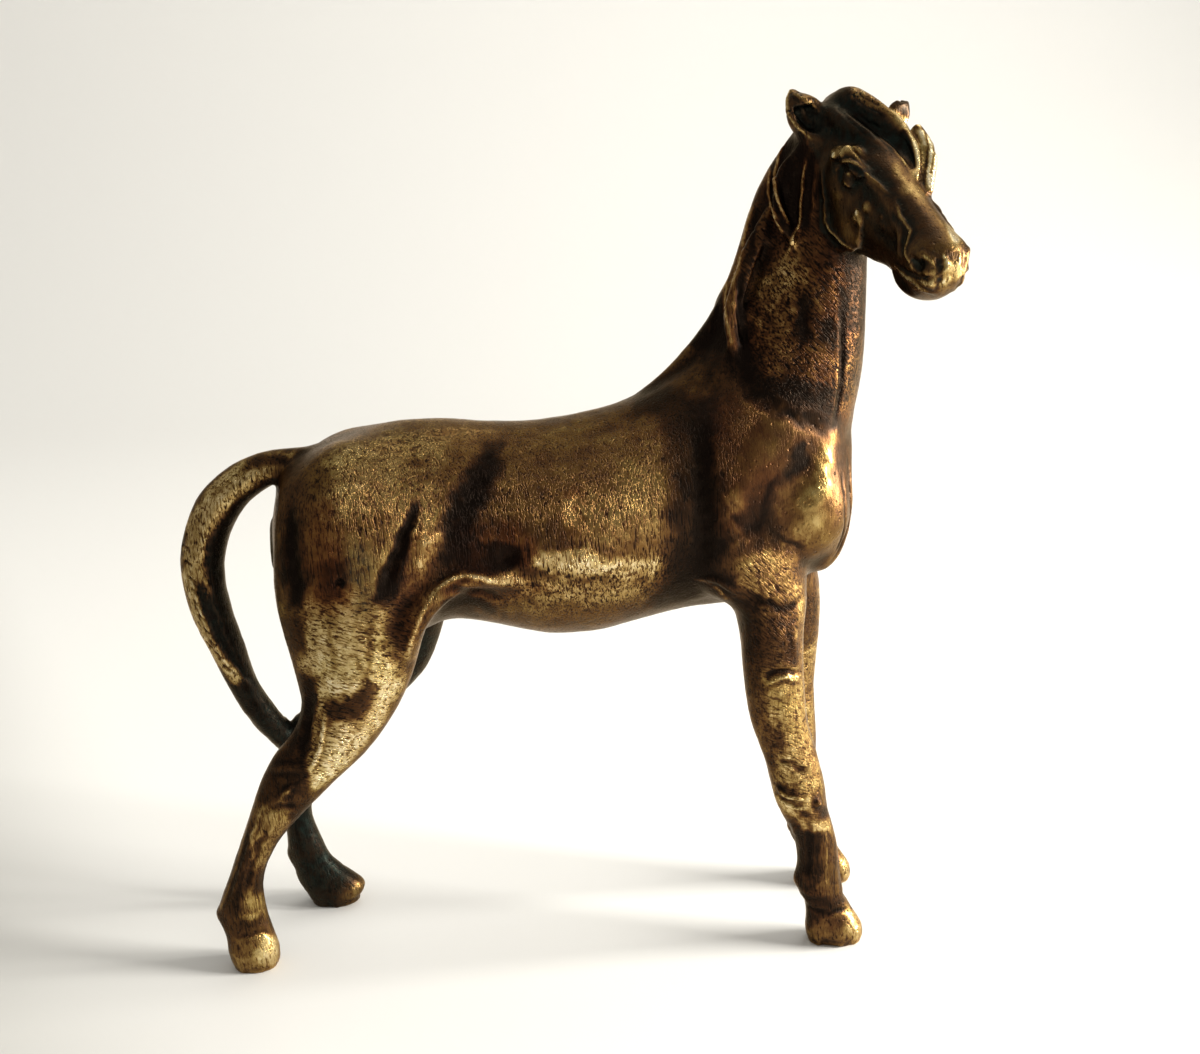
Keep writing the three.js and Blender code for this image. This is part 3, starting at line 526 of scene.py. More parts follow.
# %% [markdown]
# ## The body
# Muscles are wide soft strokes and the hollows between them are narrow carved ones, made as a
# modeller would with the end of a finger and with the edge of a tool.

# %% Shoulder, flank, belly and quarters
BODY = [  # the knots (x, z), width, height
    ([(18.2, 69.0), (18.4, 65.1), (18.5, 59.9), (18.5, 55.0), (18.1, 50.3)], 1.8, -0.45),
    ([(22.4, 62.4), (22.3, 57.5), (23.5, 52.6)], 2.6, 0.3),
    ([(34.0, 66.4), (33.1, 62.4), (31.8, 58.4)], 2.4, 0.3),
    ([(-4.4, 53.4)], 1.8, -0.6),
    ([(-14.4, 60.2), (-15.6, 57.8), (-16.8, 54.3), (-18.5, 49.9)], 1.1, -0.7),
    ([(-12.4, 57.5), (-13.6, 54.5), (-14.6, 51.5)], 1.8, 0.3),
    ([(-29.5, 60.7), (-29.4, 54.1), (-29.0, 48.2)], 1.2, -0.5),
    ([(-23.8, 50.9)], 0.9, -0.5),
    ([(-23.8, 50.9)], 0.35, 0.3),
    ([(-12.9, 49.9), (-11.7, 51.0), (-10.1, 51.7), (-8.7, 51.8), (-7.0, 51.4), (-5.3, 51.0)],
     0.8, 0.35),
    ([(-12.2, 48.7), (-10.3, 49.6), (-8.1, 48.8), (-5.2, 47.7)], 1.2, -0.4),
    ([(-13.3, 49.3), (-14.6, 46.4), (-15.7, 43.1), (-16.4, 40.1)], 0.6, 0.2),
    ([(0.9, 53.0), (5.4, 52.6), (10.1, 51.7)], 2.2, 0.25),
    ([(23.7, 48.4), (26.1, 47.0), (29.0, 46.6), (31.5, 47.1)], 0.9, -0.3),
    ([(18.4, 49.6), (20.2, 49.7), (21.8, 48.9), (22.7, 47.8)], 0.7, 0.35),
    ([(37.2, 64.0), (37.6, 61.0), (37.8, 56.5), (37.0, 52.9), (35.7, 50.4)], 0.6, -0.35),
    ([(36.1, 62.5), (36.5, 59.0), (36.7, 54.3), (36.0, 51.7)], 0.5, -0.25),
]
lay_on_both(BODY)
for line in on_both_sides([(484, 462), (476, 484), (464, 508), (455, 530), (450, 555)]):
    stroke(line, 2.8, -0.5)
put_back()
print("strokes on the body:", 2 * len(BODY))

# %% [markdown]
# ## Legs, hooves and tail
# The legs are wax rods with the joints pinched out of them. The far legs stand elsewhere, so a
# stroke given on a near leg is carried over by its share of the leg's width at that height.

# %% Carry a line over to the far leg
LEG_FROM_MIDDLE = 7.1
HALF_A_LEG = 4.5


def leg_range(x, z, side):
    """Where the leg at this x and on this side begins and ends, along x, at the height z."""
    centre = MIDDLE + side * LEG_FROM_MIDDLE
    here = (np.abs(places[:, 2] - z) < 0.6) & (np.abs(places[:, 1] - centre) < HALF_A_LEG)
    here &= places[:, 0] * np.sign(x) > 0
    return places[here, 0].min(), places[here, 0].max()


def on_leg(knots, side):
    """A line given by x and z on a right leg, laid on that leg or on the left one beside it."""
    line = []
    for x, z in knots:
        if side == LEFT:
            low, high = leg_range(x, z, RIGHT)
            far_low, far_high = leg_range(x, z, LEFT)
            x = far_low + (x - low) / (high - low) * (far_high - far_low)
        line.append((x, z))
    return on_body(line, side)


# %% Knees, hocks, fetlocks and tail
LEGS = [  # the knots (x, z), width, height
    ([(29.9, 44.6), (30.5, 43.3), (30.8, 40.0)], 0.8, 0.2),
    ([(26.5, 37.1), (27.4, 37.9), (28.8, 38.1), (29.9, 38.2), (31.5, 38.0)], 0.6, -0.35),
    ([(26.6, 36.3), (28.8, 37.3), (31.5, 37.2)], 0.5, 0.2),
    ([(28.6, 26.3), (30.4, 25.8), (32.4, 25.3)], 0.6, -0.3),
    ([(28.6, 22.4), (29.5, 21.6), (30.8, 21.2), (32.1, 21.2)], 0.5, 0.4),
    ([(28.6, 21.2), (30.3, 20.3), (32.4, 20.2)], 0.6, -0.35),
    ([(34.2, 20.7)], 0.75, 0.7),
    ([(32.7, 18.3), (33.2, 13.8), (33.1, 9.6)], 0.7, -0.3),
    ([(31.0, 17.0), (31.6, 13.0), (31.8, 10.5)], 0.6, 0.25),
    ([(32.2, 7.8), (34.0, 7.3), (36.0, 7.8)], 0.8, 0.15),
    ([(32.4, 5.4), (35.3, 5.1), (37.7, 5.5), (39.4, 4.9)], 0.6, -0.18),
    ([(-26.0, 36.3), (-26.9, 32.6), (-27.8, 29.3), (-28.4, 26.7)], 0.5, 0.2),
    ([(-28.0, 37.4), (-29.0, 33.1), (-29.9, 29.2)], 1.0, -0.5),
    ([(-32.1, 23.6), (-31.8, 24.9), (-30.8, 25.4), (-30.3, 24.9)], 0.5, 0.35),
    ([(-33.8, 27.4), (-31.5, 27.9), (-29.6, 27.7)], 0.8, 0.25),
    ([(-34.0, 22.8), (-31.9, 22.4), (-29.9, 22.8)], 0.8, -0.3),
    ([(-34.8, 23.0), (-36.3, 18.7), (-38.0, 14.0), (-39.6, 9.4)], 0.5, 0.25),
    ([(-34.0, 20.5), (-35.6, 16.0), (-37.2, 11.0)], 0.7, -0.3),
    ([(-39.0, 8.2), (-37.2, 7.8), (-35.4, 8.0)], 0.8, 0.12),
    ([(-39.3, 5.2), (-37.0, 5.6), (-35.1, 5.4), (-34.2, 4.0)], 0.6, -0.15),
]
lay_on_both(LEGS, on_leg)
FETLOCKS = [  # an x on the leg, z, whether at the back of the leg, width, height
    (30, 8.8, True, 1.5, 0.35), (30, 5.9, True, 1.2, -0.25), (30, 6.8, False, 1.4, -0.25),
    (-30, 7.6, True, 1.4, 0.25), (-30, 5.5, True, 1.1, -0.2),
]
for side in (RIGHT, LEFT):
    for x, z, at_back, width, height in FETLOCKS:
        back, front = leg_range(x, z, side)
        spot = (back if at_back else front, MIDDLE + side * LEG_FROM_MIDDLE, z)
        stroke(on_skin([spot]), width, height)
TAIL = [
    ([(-30.5, 63.9), (-34.1, 62.5), (-37.7, 60.4), (-40.3, 56.8), (-41.2, 53.1),
      (-41.1, 48.6)], 1.1, 0.2),
    ([(-42.9, 49.9), (-42.1, 45.3), (-41.1, 41.2), (-39.2, 35.9)], 0.5, 0.3),
    ([(-40.7, 46.0), (-39.6, 41.2), (-37.4, 36.0), (-35.2, 32.5)], 0.5, -0.25),
]
lay_on_both(TAIL)
NICKS = [(180, 530), (181, 545), (184, 562), (188, 578), (191, 590), (195, 603), (199, 616),
         (204, 630), (210, 642), (217, 655), (225, 668)]
for x, y in NICKS:  # short cuts across the rear edge of the tail
    for line in on_both_sides([(x, y), (x + 5, y + 4)]):
        stroke(line, 0.35, -0.22, taper=False)
put_back()
print("strokes on the legs and the tail:", 2 * (len(LEGS) + len(TAIL)))

# %% [markdown]
# ## Round hooves with flat soles
# The founder filed each sole flat so that the horse stands, and rounded the rim above it. A
# Smooth modifier that only reaches the lowest points does the rounding.

# %% Draw the rims in, rub them round and level the soles
HOOF_RIM = 2.6  # the height from which the wall of a hoof is drawn in
RIM_PINCH = 0.15  # how much narrower the hoof is at the sole
RUBBED_BELOW = 2.2
RUBBED_TIMES = 40
SOLE = 0.9  # no point above this height belongs to a sole

for side in (RIGHT, LEFT):
    for ahead in (False, True):
        here = (places[:, 2] < HOOF_RIM) & ((places[:, 1] > MIDDLE) == (side == LEFT))
        here &= (places[:, 0] > 0) == ahead
        centre = (places[here, :2].min(axis=0) + places[here, :2].max(axis=0)) / 2
        lower = ((HOOF_RIM - places[here, 2:]) / HOOF_RIM) ** 2
        places[here, :2] = centre + (places[here, :2] - centre) * (1 - RIM_PINCH * lower)
put_back()
rims = horse.vertex_groups.new(name="rims")
rims.add([int(number) for number in np.flatnonzero(places[:, 2] < RUBBED_BELOW)], 1.0, "REPLACE")
change("SMOOTH", factor=0.5, iterations=RUBBED_TIMES, vertex_group=rims.name)
horse.vertex_groups.clear()
read_surface()
sole = places[:, 2] < SOLE
places[sole, 2] *= 1 - np.clip((-facing[sole, 2] - 0.5) / 0.35, 0, 1)
put_back()
print("points near the soles:", int(sole.sum()))

# %% [markdown]
# ## Uneven as hand work
# Wax pressed by fingers is never even. A large soft cloud moves the whole skin by a few
# hundredths of a millimetre, and a small one roughens it a little.

# %% Finger marks
for name, size, strength in (("finger marks", 2.6, 0.10), ("grain", 0.7, 0.03)):
    cloud = bpy.data.textures.new(name, "CLOUDS")
    cloud.noise_scale = size * MM
    cloud.noise_depth = 1
    change("DISPLACE", texture=cloud, texture_coords="LOCAL", strength=strength * MM, mid_level=0.5)
print("roughened", len(horse.data.vertices), "points")

# %% [markdown]
# ## Fewer points
# Smooth flanks need few points and the face needs many. The Decimate modifier takes the ones
# that matter least away first.

# %% Thin the mesh
TRIANGLES = 190000

triangles_now = sum(len(face.vertices) - 2 for face in horse.data.polygons)
change("DECIMATE", ratio=TRIANGLES / triangles_now)
bpy.ops.object.shade_smooth()
read_surface()
print("finished wax:", len(horse.data.polygons), "faces")

# %% [markdown]
# ## Where the metal is dark and where it is bright
# The casting was blackened all over and then rubbed back by hand. How far it was rubbed is kept
# on the points of the mesh as one number, wear_and_light: 0 is the black skin, a half is the usual
# brown and 1 is bare pale brass. The same number also carries painted light: painted highlights,
# reflections and sheen are laid on as brighter wear, and painted shade as darker. More masks say
# where the metal is reddish, greenish, flecked, or brushed level or aslant. Patches are drawn in
# the picture like the strokes. Each point of the far side takes the place of its mirror image, so
# both sides are painted at once.

# %% Hollows and edges
count = len(places)
edges = np.empty(len(horse.data.edges) * 2, np.int32)
horse.data.edges.foreach_get("vertices", edges)
edges = edges.reshape(-1, 2)
neighbours = np.bincount(edges.ravel(), minlength=count)


def smoothed(values, times):
    """The values, each mixed with those of its neighbours, several times over."""
    values = values.copy()
    for _ in range(times):
        total = np.stack([
            np.bincount(edges[:, 0], weights=values[edges[:, 1], axis], minlength=count)
            + np.bincount(edges[:, 1], weights=values[edges[:, 0], axis], minlength=count)
            for axis in range(values.shape[1])
        ], axis=1)
        values = (values + total / neighbours[:, None]) / 2
    return values


def sunk(times):
    """How deep each point lies below the average of the points around it, in millimetres."""
    depth = ((smoothed(places, times) - places) * facing).sum(axis=1)
    return depth - np.median(depth)


def share(values, full):
    """The values as shares of the full value, from 0 to 1."""
    return np.clip(values / full, 0, 1)


FINE_DEPTH, BROAD_DEPTH, BROAD_HEIGHT = 0.05, 0.25, 0.35  # these and more count in full

fine, broad = sunk(6), sunk(60)
hollow = np.clip(share(fine, FINE_DEPTH) * 0.6 + share(broad, BROAD_DEPTH) * 0.5, 0, 1)
edge = share(-fine, FINE_DEPTH) * 0.7 + share(-broad, BROAD_HEIGHT) * 0.3
print("hollow points:", int((hollow > 0.5).sum()), "edge points:", int((edge > 0.5).sum()))

# %% How far a spot is from a line of corners
def gap_to(spots, corners, closed):
    """How far each spot is from a line of corners, and whether it is inside the closed line."""
    ends = np.roll(corners, -1, axis=0) if closed else corners[1:]
    closest, inside = np.full(len(spots), np.inf), np.zeros(len(spots), bool)
    for (ax, ay), (bx, by) in zip(corners, ends):
        way = np.array((bx - ax, by - ay))
        part = np.clip(((spots - (ax, ay)) @ way) / max(way @ way, 1e-9), 0, 1)
        gap = np.hypot(*(spots - (ax, ay) - part[:, None] * way).T)
        closest = np.minimum(closest, gap)
        if closed and ay != by:
            crossed = (spots[:, 1] > ay) != (spots[:, 1] > by)
            inside ^= crossed & (spots[:, 0] < ax + (spots[:, 1] - ay) / (by - ay) * (bx - ax))
    return closest, inside


# %% The parts of the horse, and the place of each point in the picture
HEAD_OUTLINE = np.array([
    (770, 75), (860, 70), (925, 90), (950, 130), (985, 240), (985, 300), (935, 315), (897, 298),
    (888, 273), (864, 260), (853, 256), (836, 247), (820, 231), (819, 165), (808, 140),
    (790, 125), (775, 110),
], float)
HEAD_ABOVE, HEAD_AHEAD_OF, THROAT = 78, 27, -9.5
TAIL_BEHIND, TAIL_HALF_WIDTH, TAIL_ABOVE = -29.5, 2.7, 29
LEGS_BELOW = 45

head_here = (places - np.array(POLL)) @ HEAD_AXES.T / HEAD_SCALE
on_right_cheek = places.copy()
left_cheek = head_here[:, 1] > 0
on_right_cheek[left_cheek] = other_cheek(places[left_cheek])
is_head = gap_to(in_picture(on_right_cheek)[0], HEAD_OUTLINE, True)[1]
is_head &= (places[:, 2] > HEAD_ABOVE) & (places[:, 0] > HEAD_AHEAD_OF)
is_head &= head_here[:, 2] > THROAT
is_tail = (places[:, 0] < TAIL_BEHIND) & (places[:, 2] > TAIL_ABOVE)
is_tail &= np.abs(places[:, 1] - MIDDLE) < TAIL_HALF_WIDTH
is_body = ~is_head & ~is_tail
mirrored = places.copy()
far = (places[:, 1] > MIDDLE) & is_body
mirrored[far, 1] = 2 * MIDDLE - mirrored[far, 1]
for ahead in (False, True):  # the far legs stand elsewhere, and are carried over in slices
    for z in range(0, LEGS_BELOW):
        here = (np.abs(places[:, 2] - z) <= 0.5) & ((places[:, 0] > 0) == ahead) & is_body
        near_x, far_x = places[here & ~far, 0], places[here & far, 0]
        if len(near_x) and len(far_x):
            across = (far_x - far_x.min()) / max(np.ptp(far_x), 0.1)
            mirrored[here & far, 0] = near_x.min() + across * np.ptp(near_x)
FACES_AWAY = 0.1  # below this a point turns away from the camera

unseen = is_head & left_cheek & (facing @ np.array(towards_camera) < FACES_AWAY)
mirrored[unseen] = on_right_cheek[unseen]
drawn = in_picture(mirrored)[0]
WAVES = [  # the direction, and the size in dots of the picture
    ((1.1, 0.7, -0.9), 2.4), ((-0.5, 1.3, 1.6), 1.8), ((2.9, -1.7, 2.3), 1.3),
    ((-3.1, 2.2, 4.1), 0.9),
]
wobble = np.stack([
    sum(size * np.sin(places @ way + 2.3 * axis + size) for way, size in WAVES)
    for axis in range(2)
], axis=1)
wobble[is_head] *= 0.5
PARTS = {"head": is_head, "tail": is_tail, "body": is_body}
print({name: int(part.sum()) for name, part in PARTS.items()})

# %% Two ways to paint: a patch and a line
START = {
    "wear_and_light": 0.46, "copper": 0.0, "green": 0.0, "flecked": 0.3, "brushed": 0.6, "level": 0.0,
    "aslant": 0.0,
}
masks = {name: np.full(count, value) for name, value in START.items()}


def blend_in(name, found, strength, target):
    """Moves a mask towards the target value, as far as the strength says."""
    kept = masks[name][found]
    masks[name][found] = kept + (target - kept) * np.clip(strength, 0, 1)


def paint(name, part, corners, target, soft=5.0, line=False):
    """A soft patch with a wavy rim, or a soft line of that half width, through the corners."""
    corners = np.array(corners, float)
    spots = drawn if line else drawn + wobble * min(soft / 7, 1.2)
    low, high = corners.min(axis=0) - 2 * soft, corners.max(axis=0) + 2 * soft
    found = np.flatnonzero(PARTS[part] & ((spots > low) & (spots < high)).all(axis=1))
    gap, inside = gap_to(spots[found], corners, not line)
    if line:
        strength = np.clip(1.3 - gap / soft, 0, 1)
    else:
        strength = np.clip(0.5 + np.where(inside, gap, -gap) / (2 * soft), 0, 1)
    blend_in(name, found, strength * strength * (3 - 2 * strength), target)


def paint_wear_and_light(part, shapes, line=False):
    """Paints the wear, and the painted light laid on with it, of a whole list of patches or lines.
    """
    for corners, target, soft in shapes:
        paint("wear_and_light", part, corners, target, soft, line)


print("masks to paint:", ", ".join(masks))

# %% Paint the body
# the wear column holds real wear and also painted light: highlights and reflections as brighter
# wear, shade as darker
BODY_PATCHES = [  # the corners in the picture, wear, softness
    ([(320, 440), (440, 415), (500, 425), (470, 470), (430, 510), (360, 540), (330, 500)],
     0.63, 22),
    ([(300, 440), (325, 430), (322, 490), (305, 530), (285, 560), (272, 500)], 0.38, 15),
    ([(420, 450), (440, 445), (436, 505), (420, 512)], 0.68, 8),
    ([(440, 440), (620, 410), (700, 400), (690, 560), (560, 545), (450, 540)], 0.56, 16),
    ([(560, 490), (680, 480), (685, 555), (580, 545)], 0.64, 14),
    ([(640, 400), (700, 370), (760, 400), (850, 430), (850, 560), (700, 590), (695, 480)],
     0.42, 6),
    ([(690, 350), (735, 350), (780, 400), (760, 430), (690, 420)], 0.42, 6),
    ([(715, 420), (775, 430), (780, 500), (765, 540), (725, 530), (712, 470)], 0.40, 12),
    ([(516, 520), (560, 518), (574, 530), (570, 547), (530, 545)], 0.44, 7),
    ([(562, 500), (574, 500), (576, 524), (565, 526)], 0.74, 4),
    # the bright band along the lower flank: worn brass, and also a painted reflection of the white
    # paper below
    ([(539, 551), (582, 549), (621, 557), (652, 557), (666, 568), (652, 580), (609, 580),
      (562, 575), (531, 566)], 0.87, 6),
    ([(500, 570), (560, 578), (650, 584), (690, 590), (640, 610), (540, 605), (470, 590)],
     0.71, 8),
    ([(470, 600), (550, 608), (640, 606), (600, 635), (520, 632), (480, 620)], 0.67, 7),
    ([(462, 535), (480, 545), (500, 560), (480, 578), (450, 580)], 0.44, 8),
    ([(484, 450), (502, 445), (502, 470), (489, 498), (478, 528), (474, 552), (460, 567),
      (446, 556), (443, 533), (447, 505), (458, 484), (472, 467)], 0.12, 9),
    ([(636, 392), (660, 386), (690, 392), (692, 408), (660, 416), (630, 410)], 0.20, 6),
    ([(486, 546), (500, 541), (520, 548), (522, 566), (505, 572), (490, 566)], 0.13, 4),
    ([(670, 400), (712, 398), (722, 480), (728, 545), (724, 592), (690, 602), (664, 585),
      (672, 500)], 0.24, 13),
    ([(688, 402), (706, 398), (716, 470), (722, 540), (718, 585), (700, 592), (688, 575),
      (692, 500)], 0.07, 9),
    ([(650, 598), (690, 572), (722, 566), (738, 600), (700, 612), (660, 612)], 0.09, 8),
    ([(723, 492), (738, 490), (750, 514), (735, 520)], 0.50, 4),
    ([(793, 447), (803, 440), (812, 446), (812, 457), (806, 469), (797, 470), (786, 478),
      (790, 462)], 0.0, 2),
    ([(776, 492), (800, 474), (815, 470), (820, 520), (806, 548), (786, 546), (774, 525)],
     0.73, 6),
    # painted highlight: the bright streak down the point of the shoulder, laid on as worn brass
    ([(806, 450), (826, 436), (842, 440), (832, 480), (818, 530), (800, 545), (806, 500)],
     0.60, 7),
    # painted shade: darker beside that highlight, so that it stays narrow
    ([(836, 446), (850, 440), (864, 500), (860, 560), (838, 578), (834, 520)], 0.36, 6),
    ([(736, 560), (770, 548), (800, 556), (800, 592), (765, 600), (738, 592)], 0.61, 5),
    ([(800, 548), (830, 540), (845, 560), (822, 585), (802, 590)], 0.48, 4),
    ([(345, 540), (400, 545), (398, 612), (350, 616), (340, 580)], 0.66, 11),
    ([(307, 508), (332, 506), (340, 530), (330, 550), (309, 550)], 0.50, 8),
    ([(309, 590), (340, 592), (359, 588), (357, 612), (330, 618), (309, 612)], 0.60, 8),
    ([(320, 566), (348, 563), (355, 585), (346, 601), (326, 598)], 0.27, 7),
    ([(351, 547), (369, 545), (372, 600), (366, 622), (352, 615)], 0.62, 7),
    ([(402, 512), (436, 505), (445, 560), (430, 600), (398, 600)], 0.66, 12),
    ([(418, 503), (413, 523), (411, 547), (404, 574), (395, 600), (385, 608), (375, 600),
      (378, 578), (388, 555), (398, 531), (410, 512)], 0.03, 3.5),
    ([(282, 518), (298, 520), (304, 560), (303, 606), (290, 610), (281, 570)], 0.10, 5),
    ([(303, 640), (314, 608), (330, 628), (345, 592), (362, 614), (380, 600), (396, 622),
      (412, 608), (412, 650), (395, 690), (318, 690), (298, 660)], 0.83, 17),
    ([(395, 600), (415, 600), (408, 650), (392, 660)], 0.52, 5),
    ([(282, 618), (302, 616), (306, 652), (292, 655)], 0.30, 4),
    ([(318, 680), (400, 680), (380, 730), (350, 770), (318, 790), (303, 772), (316, 720)],
     0.89, 8),
    ([(325, 702), (350, 696), (366, 684), (377, 690), (374, 708), (356, 724), (330, 722)],
     0.34, 6),
    ([(300, 672), (313, 680), (318, 704), (309, 746), (300, 790), (285, 760), (302, 715)],
     0.18, 4),
    ([(266, 755), (300, 745), (312, 780), (308, 815), (290, 830), (288, 800), (262, 806),
      (255, 800)], 0.27, 4),
    ([(256, 806), (286, 806), (292, 834), (272, 842), (248, 840)], 0.64, 3),
    ([(245, 838), (276, 842), (268, 868), (266, 915), (250, 925), (243, 900), (246, 870)],
     0.62, 4),
    ([(242, 868), (268, 872), (266, 892), (244, 890)], 0.40, 4),
    ([(246, 825), (252, 850), (243, 880), (240, 925), (222, 930), (216, 915), (232, 870)],
     0.20, 3),
    ([(222, 915), (270, 925), (276, 935), (240, 940), (228, 935)], 0.34, 3),
    ([(230, 938), (270, 932), (284, 955), (270, 976), (235, 972)], 0.50, 4),
    ([(262, 932), (276, 936), (282, 955), (272, 972), (262, 965), (258, 948)], 0.76, 6),
    ([(738, 600), (762, 602), (764, 660), (765, 690), (748, 700), (742, 650)], 0.28, 4),
    ([(762, 600), (796, 598), (798, 665), (775, 672), (762, 678)], 0.40, 4),
    ([(796, 600), (808, 596), (806, 662), (798, 664)], 0.66, 3),
    ([(764, 677), (790, 672), (800, 665), (808, 668), (818, 770), (822, 795), (775, 790),
      (766, 740)], 0.67, 6),
    ([(748, 695), (764, 690), (768, 740), (780, 760), (770, 780), (755, 730)], 0.46, 4),
    ([(762, 722), (780, 724), (786, 748), (772, 752)], 0.40, 5),
    ([(775, 784), (783, 785), (796, 790), (794, 795), (778, 791)], 0.25, 2),
    ([(774, 795), (812, 795), (812, 815), (800, 822), (784, 812)], 0.76, 4),
    ([(795, 811), (808, 812), (812, 818), (800, 819)], 0.20, 2),
    ([(818, 805), (827, 806), (829, 826), (820, 824)], 0.22, 2),
    ([(800, 820), (828, 818), (836, 834), (820, 834), (802, 828)], 0.76, 3),
    ([(788, 822), (802, 828), (820, 834), (822, 880), (806, 895), (792, 880), (798, 850)],
     0.22, 3),
    ([(822, 834), (838, 836), (842, 880), (824, 886)], 0.44, 3),
    ([(794, 878), (806, 894), (846, 900), (840, 925), (806, 930), (803, 905)], 0.20, 4),
    ([(812, 920), (850, 912), (862, 930), (856, 946), (825, 948), (808, 936)], 0.42, 4),
    ([(848, 904), (858, 912), (865, 930), (862, 944), (850, 946), (846, 925)], 0.68, 5),
]
paint_wear_and_light("body", BODY_PATCHES)
# the wear column holds real wear and also painted light: glints as brighter wear
BODY_LINES = [  # the corners in the picture, wear, half width
    ([(795, 462), (782, 474), (771, 484), (766, 500), (764, 516), (757, 530), (746, 526),
      (734, 516)], 0.20, 3.5),
    ([(764, 516), (772, 530), (784, 540), (800, 545)], 0.32, 3),
    ([(433, 592), (449, 579), (469, 576), (492, 580), (510, 584)], 0.76, 2.6),
    ([(446, 604), (462, 599), (480, 602), (492, 610)], 0.06, 5),
    ([(695, 580), (707, 582), (719, 590), (726, 599)], 0.72, 1.6),
    ([(434, 594), (424, 610), (416, 630), (408, 650)], 0.72, 2.0),
    ([(308, 622), (308, 640), (310, 662)], 0.78, 2.5),
    ([(354, 590), (356, 620), (360, 650), (358, 680)], 0.80, 5),
    ([(372, 622), (370, 650), (366, 680)], 0.60, 3),
    ([(332, 610), (330, 640), (334, 668)], 0.62, 3),
    ([(426, 520), (423, 550), (420, 585)], 0.76, 3),
    ([(322, 700), (316, 735), (309, 770)], 0.82, 3.5),
    ([(280, 800), (283, 794), (289, 792), (293, 797)], 0.66, 2.0),
    ([(251, 806), (244, 836), (236, 868), (226, 895), (219, 912)], 0.55, 1.4),
    ([(827, 836), (827, 860), (827, 882)], 0.66, 1.2),
    # a painted glint on the round knob of the near knee
    ([(818, 800)], 0.90, 5),
    ([(338, 586)], 0.06, 6),
    ([(339, 587)], 0.45, 2.4),
    ([(786, 515)], 0.84, 5),
]
paint_wear_and_light("body", BODY_LINES, line=True)
print("patches and lines on the body:", len(BODY_PATCHES) + len(BODY_LINES))

# %% Paint the neck and the mane
NECK_PATCHES = [  # the corners in the picture, wear, softness
    ([(720, 270), (760, 180), (800, 130), (860, 240), (870, 300), (868, 400), (840, 430),
      (760, 380), (725, 345)], 0.48, 6),
    ([(690, 345), (722, 290), (732, 345), (735, 352)], 0.08, 3),
    ([(745, 195), (768, 175), (772, 240), (760, 280), (740, 280)], 0.36, 5),
    ([(775, 135), (806, 130), (808, 225), (788, 240), (772, 205), (770, 165)], 0.10, 4),
    ([(806, 140), (855, 150), (862, 262), (862, 300), (838, 310), (815, 280), (808, 230)],
     0.44, 7),
    ([(724, 282), (737, 275), (738, 345), (728, 345)], 0.50, 2.5),
    ([(738, 275), (748, 270), (746, 345), (756, 368), (742, 360), (736, 330)], 0.10, 3),
    ([(760, 278), (795, 262), (805, 290), (795, 345), (770, 365), (752, 340)], 0.59, 8),
    ([(797, 224), (802, 224), (804, 240), (807, 262), (814, 278), (790, 288), (764, 284),
      (773, 266), (788, 246)], 0.66, 4),
    ([(796, 298), (808, 296), (812, 325), (806, 345), (794, 338)], 0.12, 4),
    ([(838, 285), (850, 290), (846, 340), (846, 400), (838, 400), (838, 340)], 0.04, 2.5),
    ([(851, 300), (868, 296), (870, 350), (860, 395), (848, 400)], 0.36, 4),
    ([(844, 252), (868, 256), (874, 300), (872, 330), (850, 330)], 0.22, 4),
    ([(812, 300), (838, 312), (838, 400), (800, 380), (806, 345)], 0.47, 6),
    ([(818, 318), (840, 322), (838, 350), (822, 345)], 0.22, 4),
    ([(728, 345), (745, 350), (764, 376), (800, 380), (840, 392), (838, 432), (815, 420),
      (790, 412), (765, 398), (745, 372), (728, 360)], 0.11, 5),
]
paint_wear_and_light("body", NECK_PATCHES)
for corners, target, soft in NECK_PATCHES:
    paint("copper", "body", corners, 0.55 if target > 0.38 else 0.1, soft)
for knots, width, height in GAPS:
    paint("wear_and_light", "body", knots, 0.04, 3.5, line=True)
for knots, width, height in RIBBONS:
    paint("wear_and_light", "body", knots, 0.66, 2.2, line=True)
    paint("copper", "body", knots, 0.7, 4, line=True)
print("patches on the neck:", len(NECK_PATCHES))
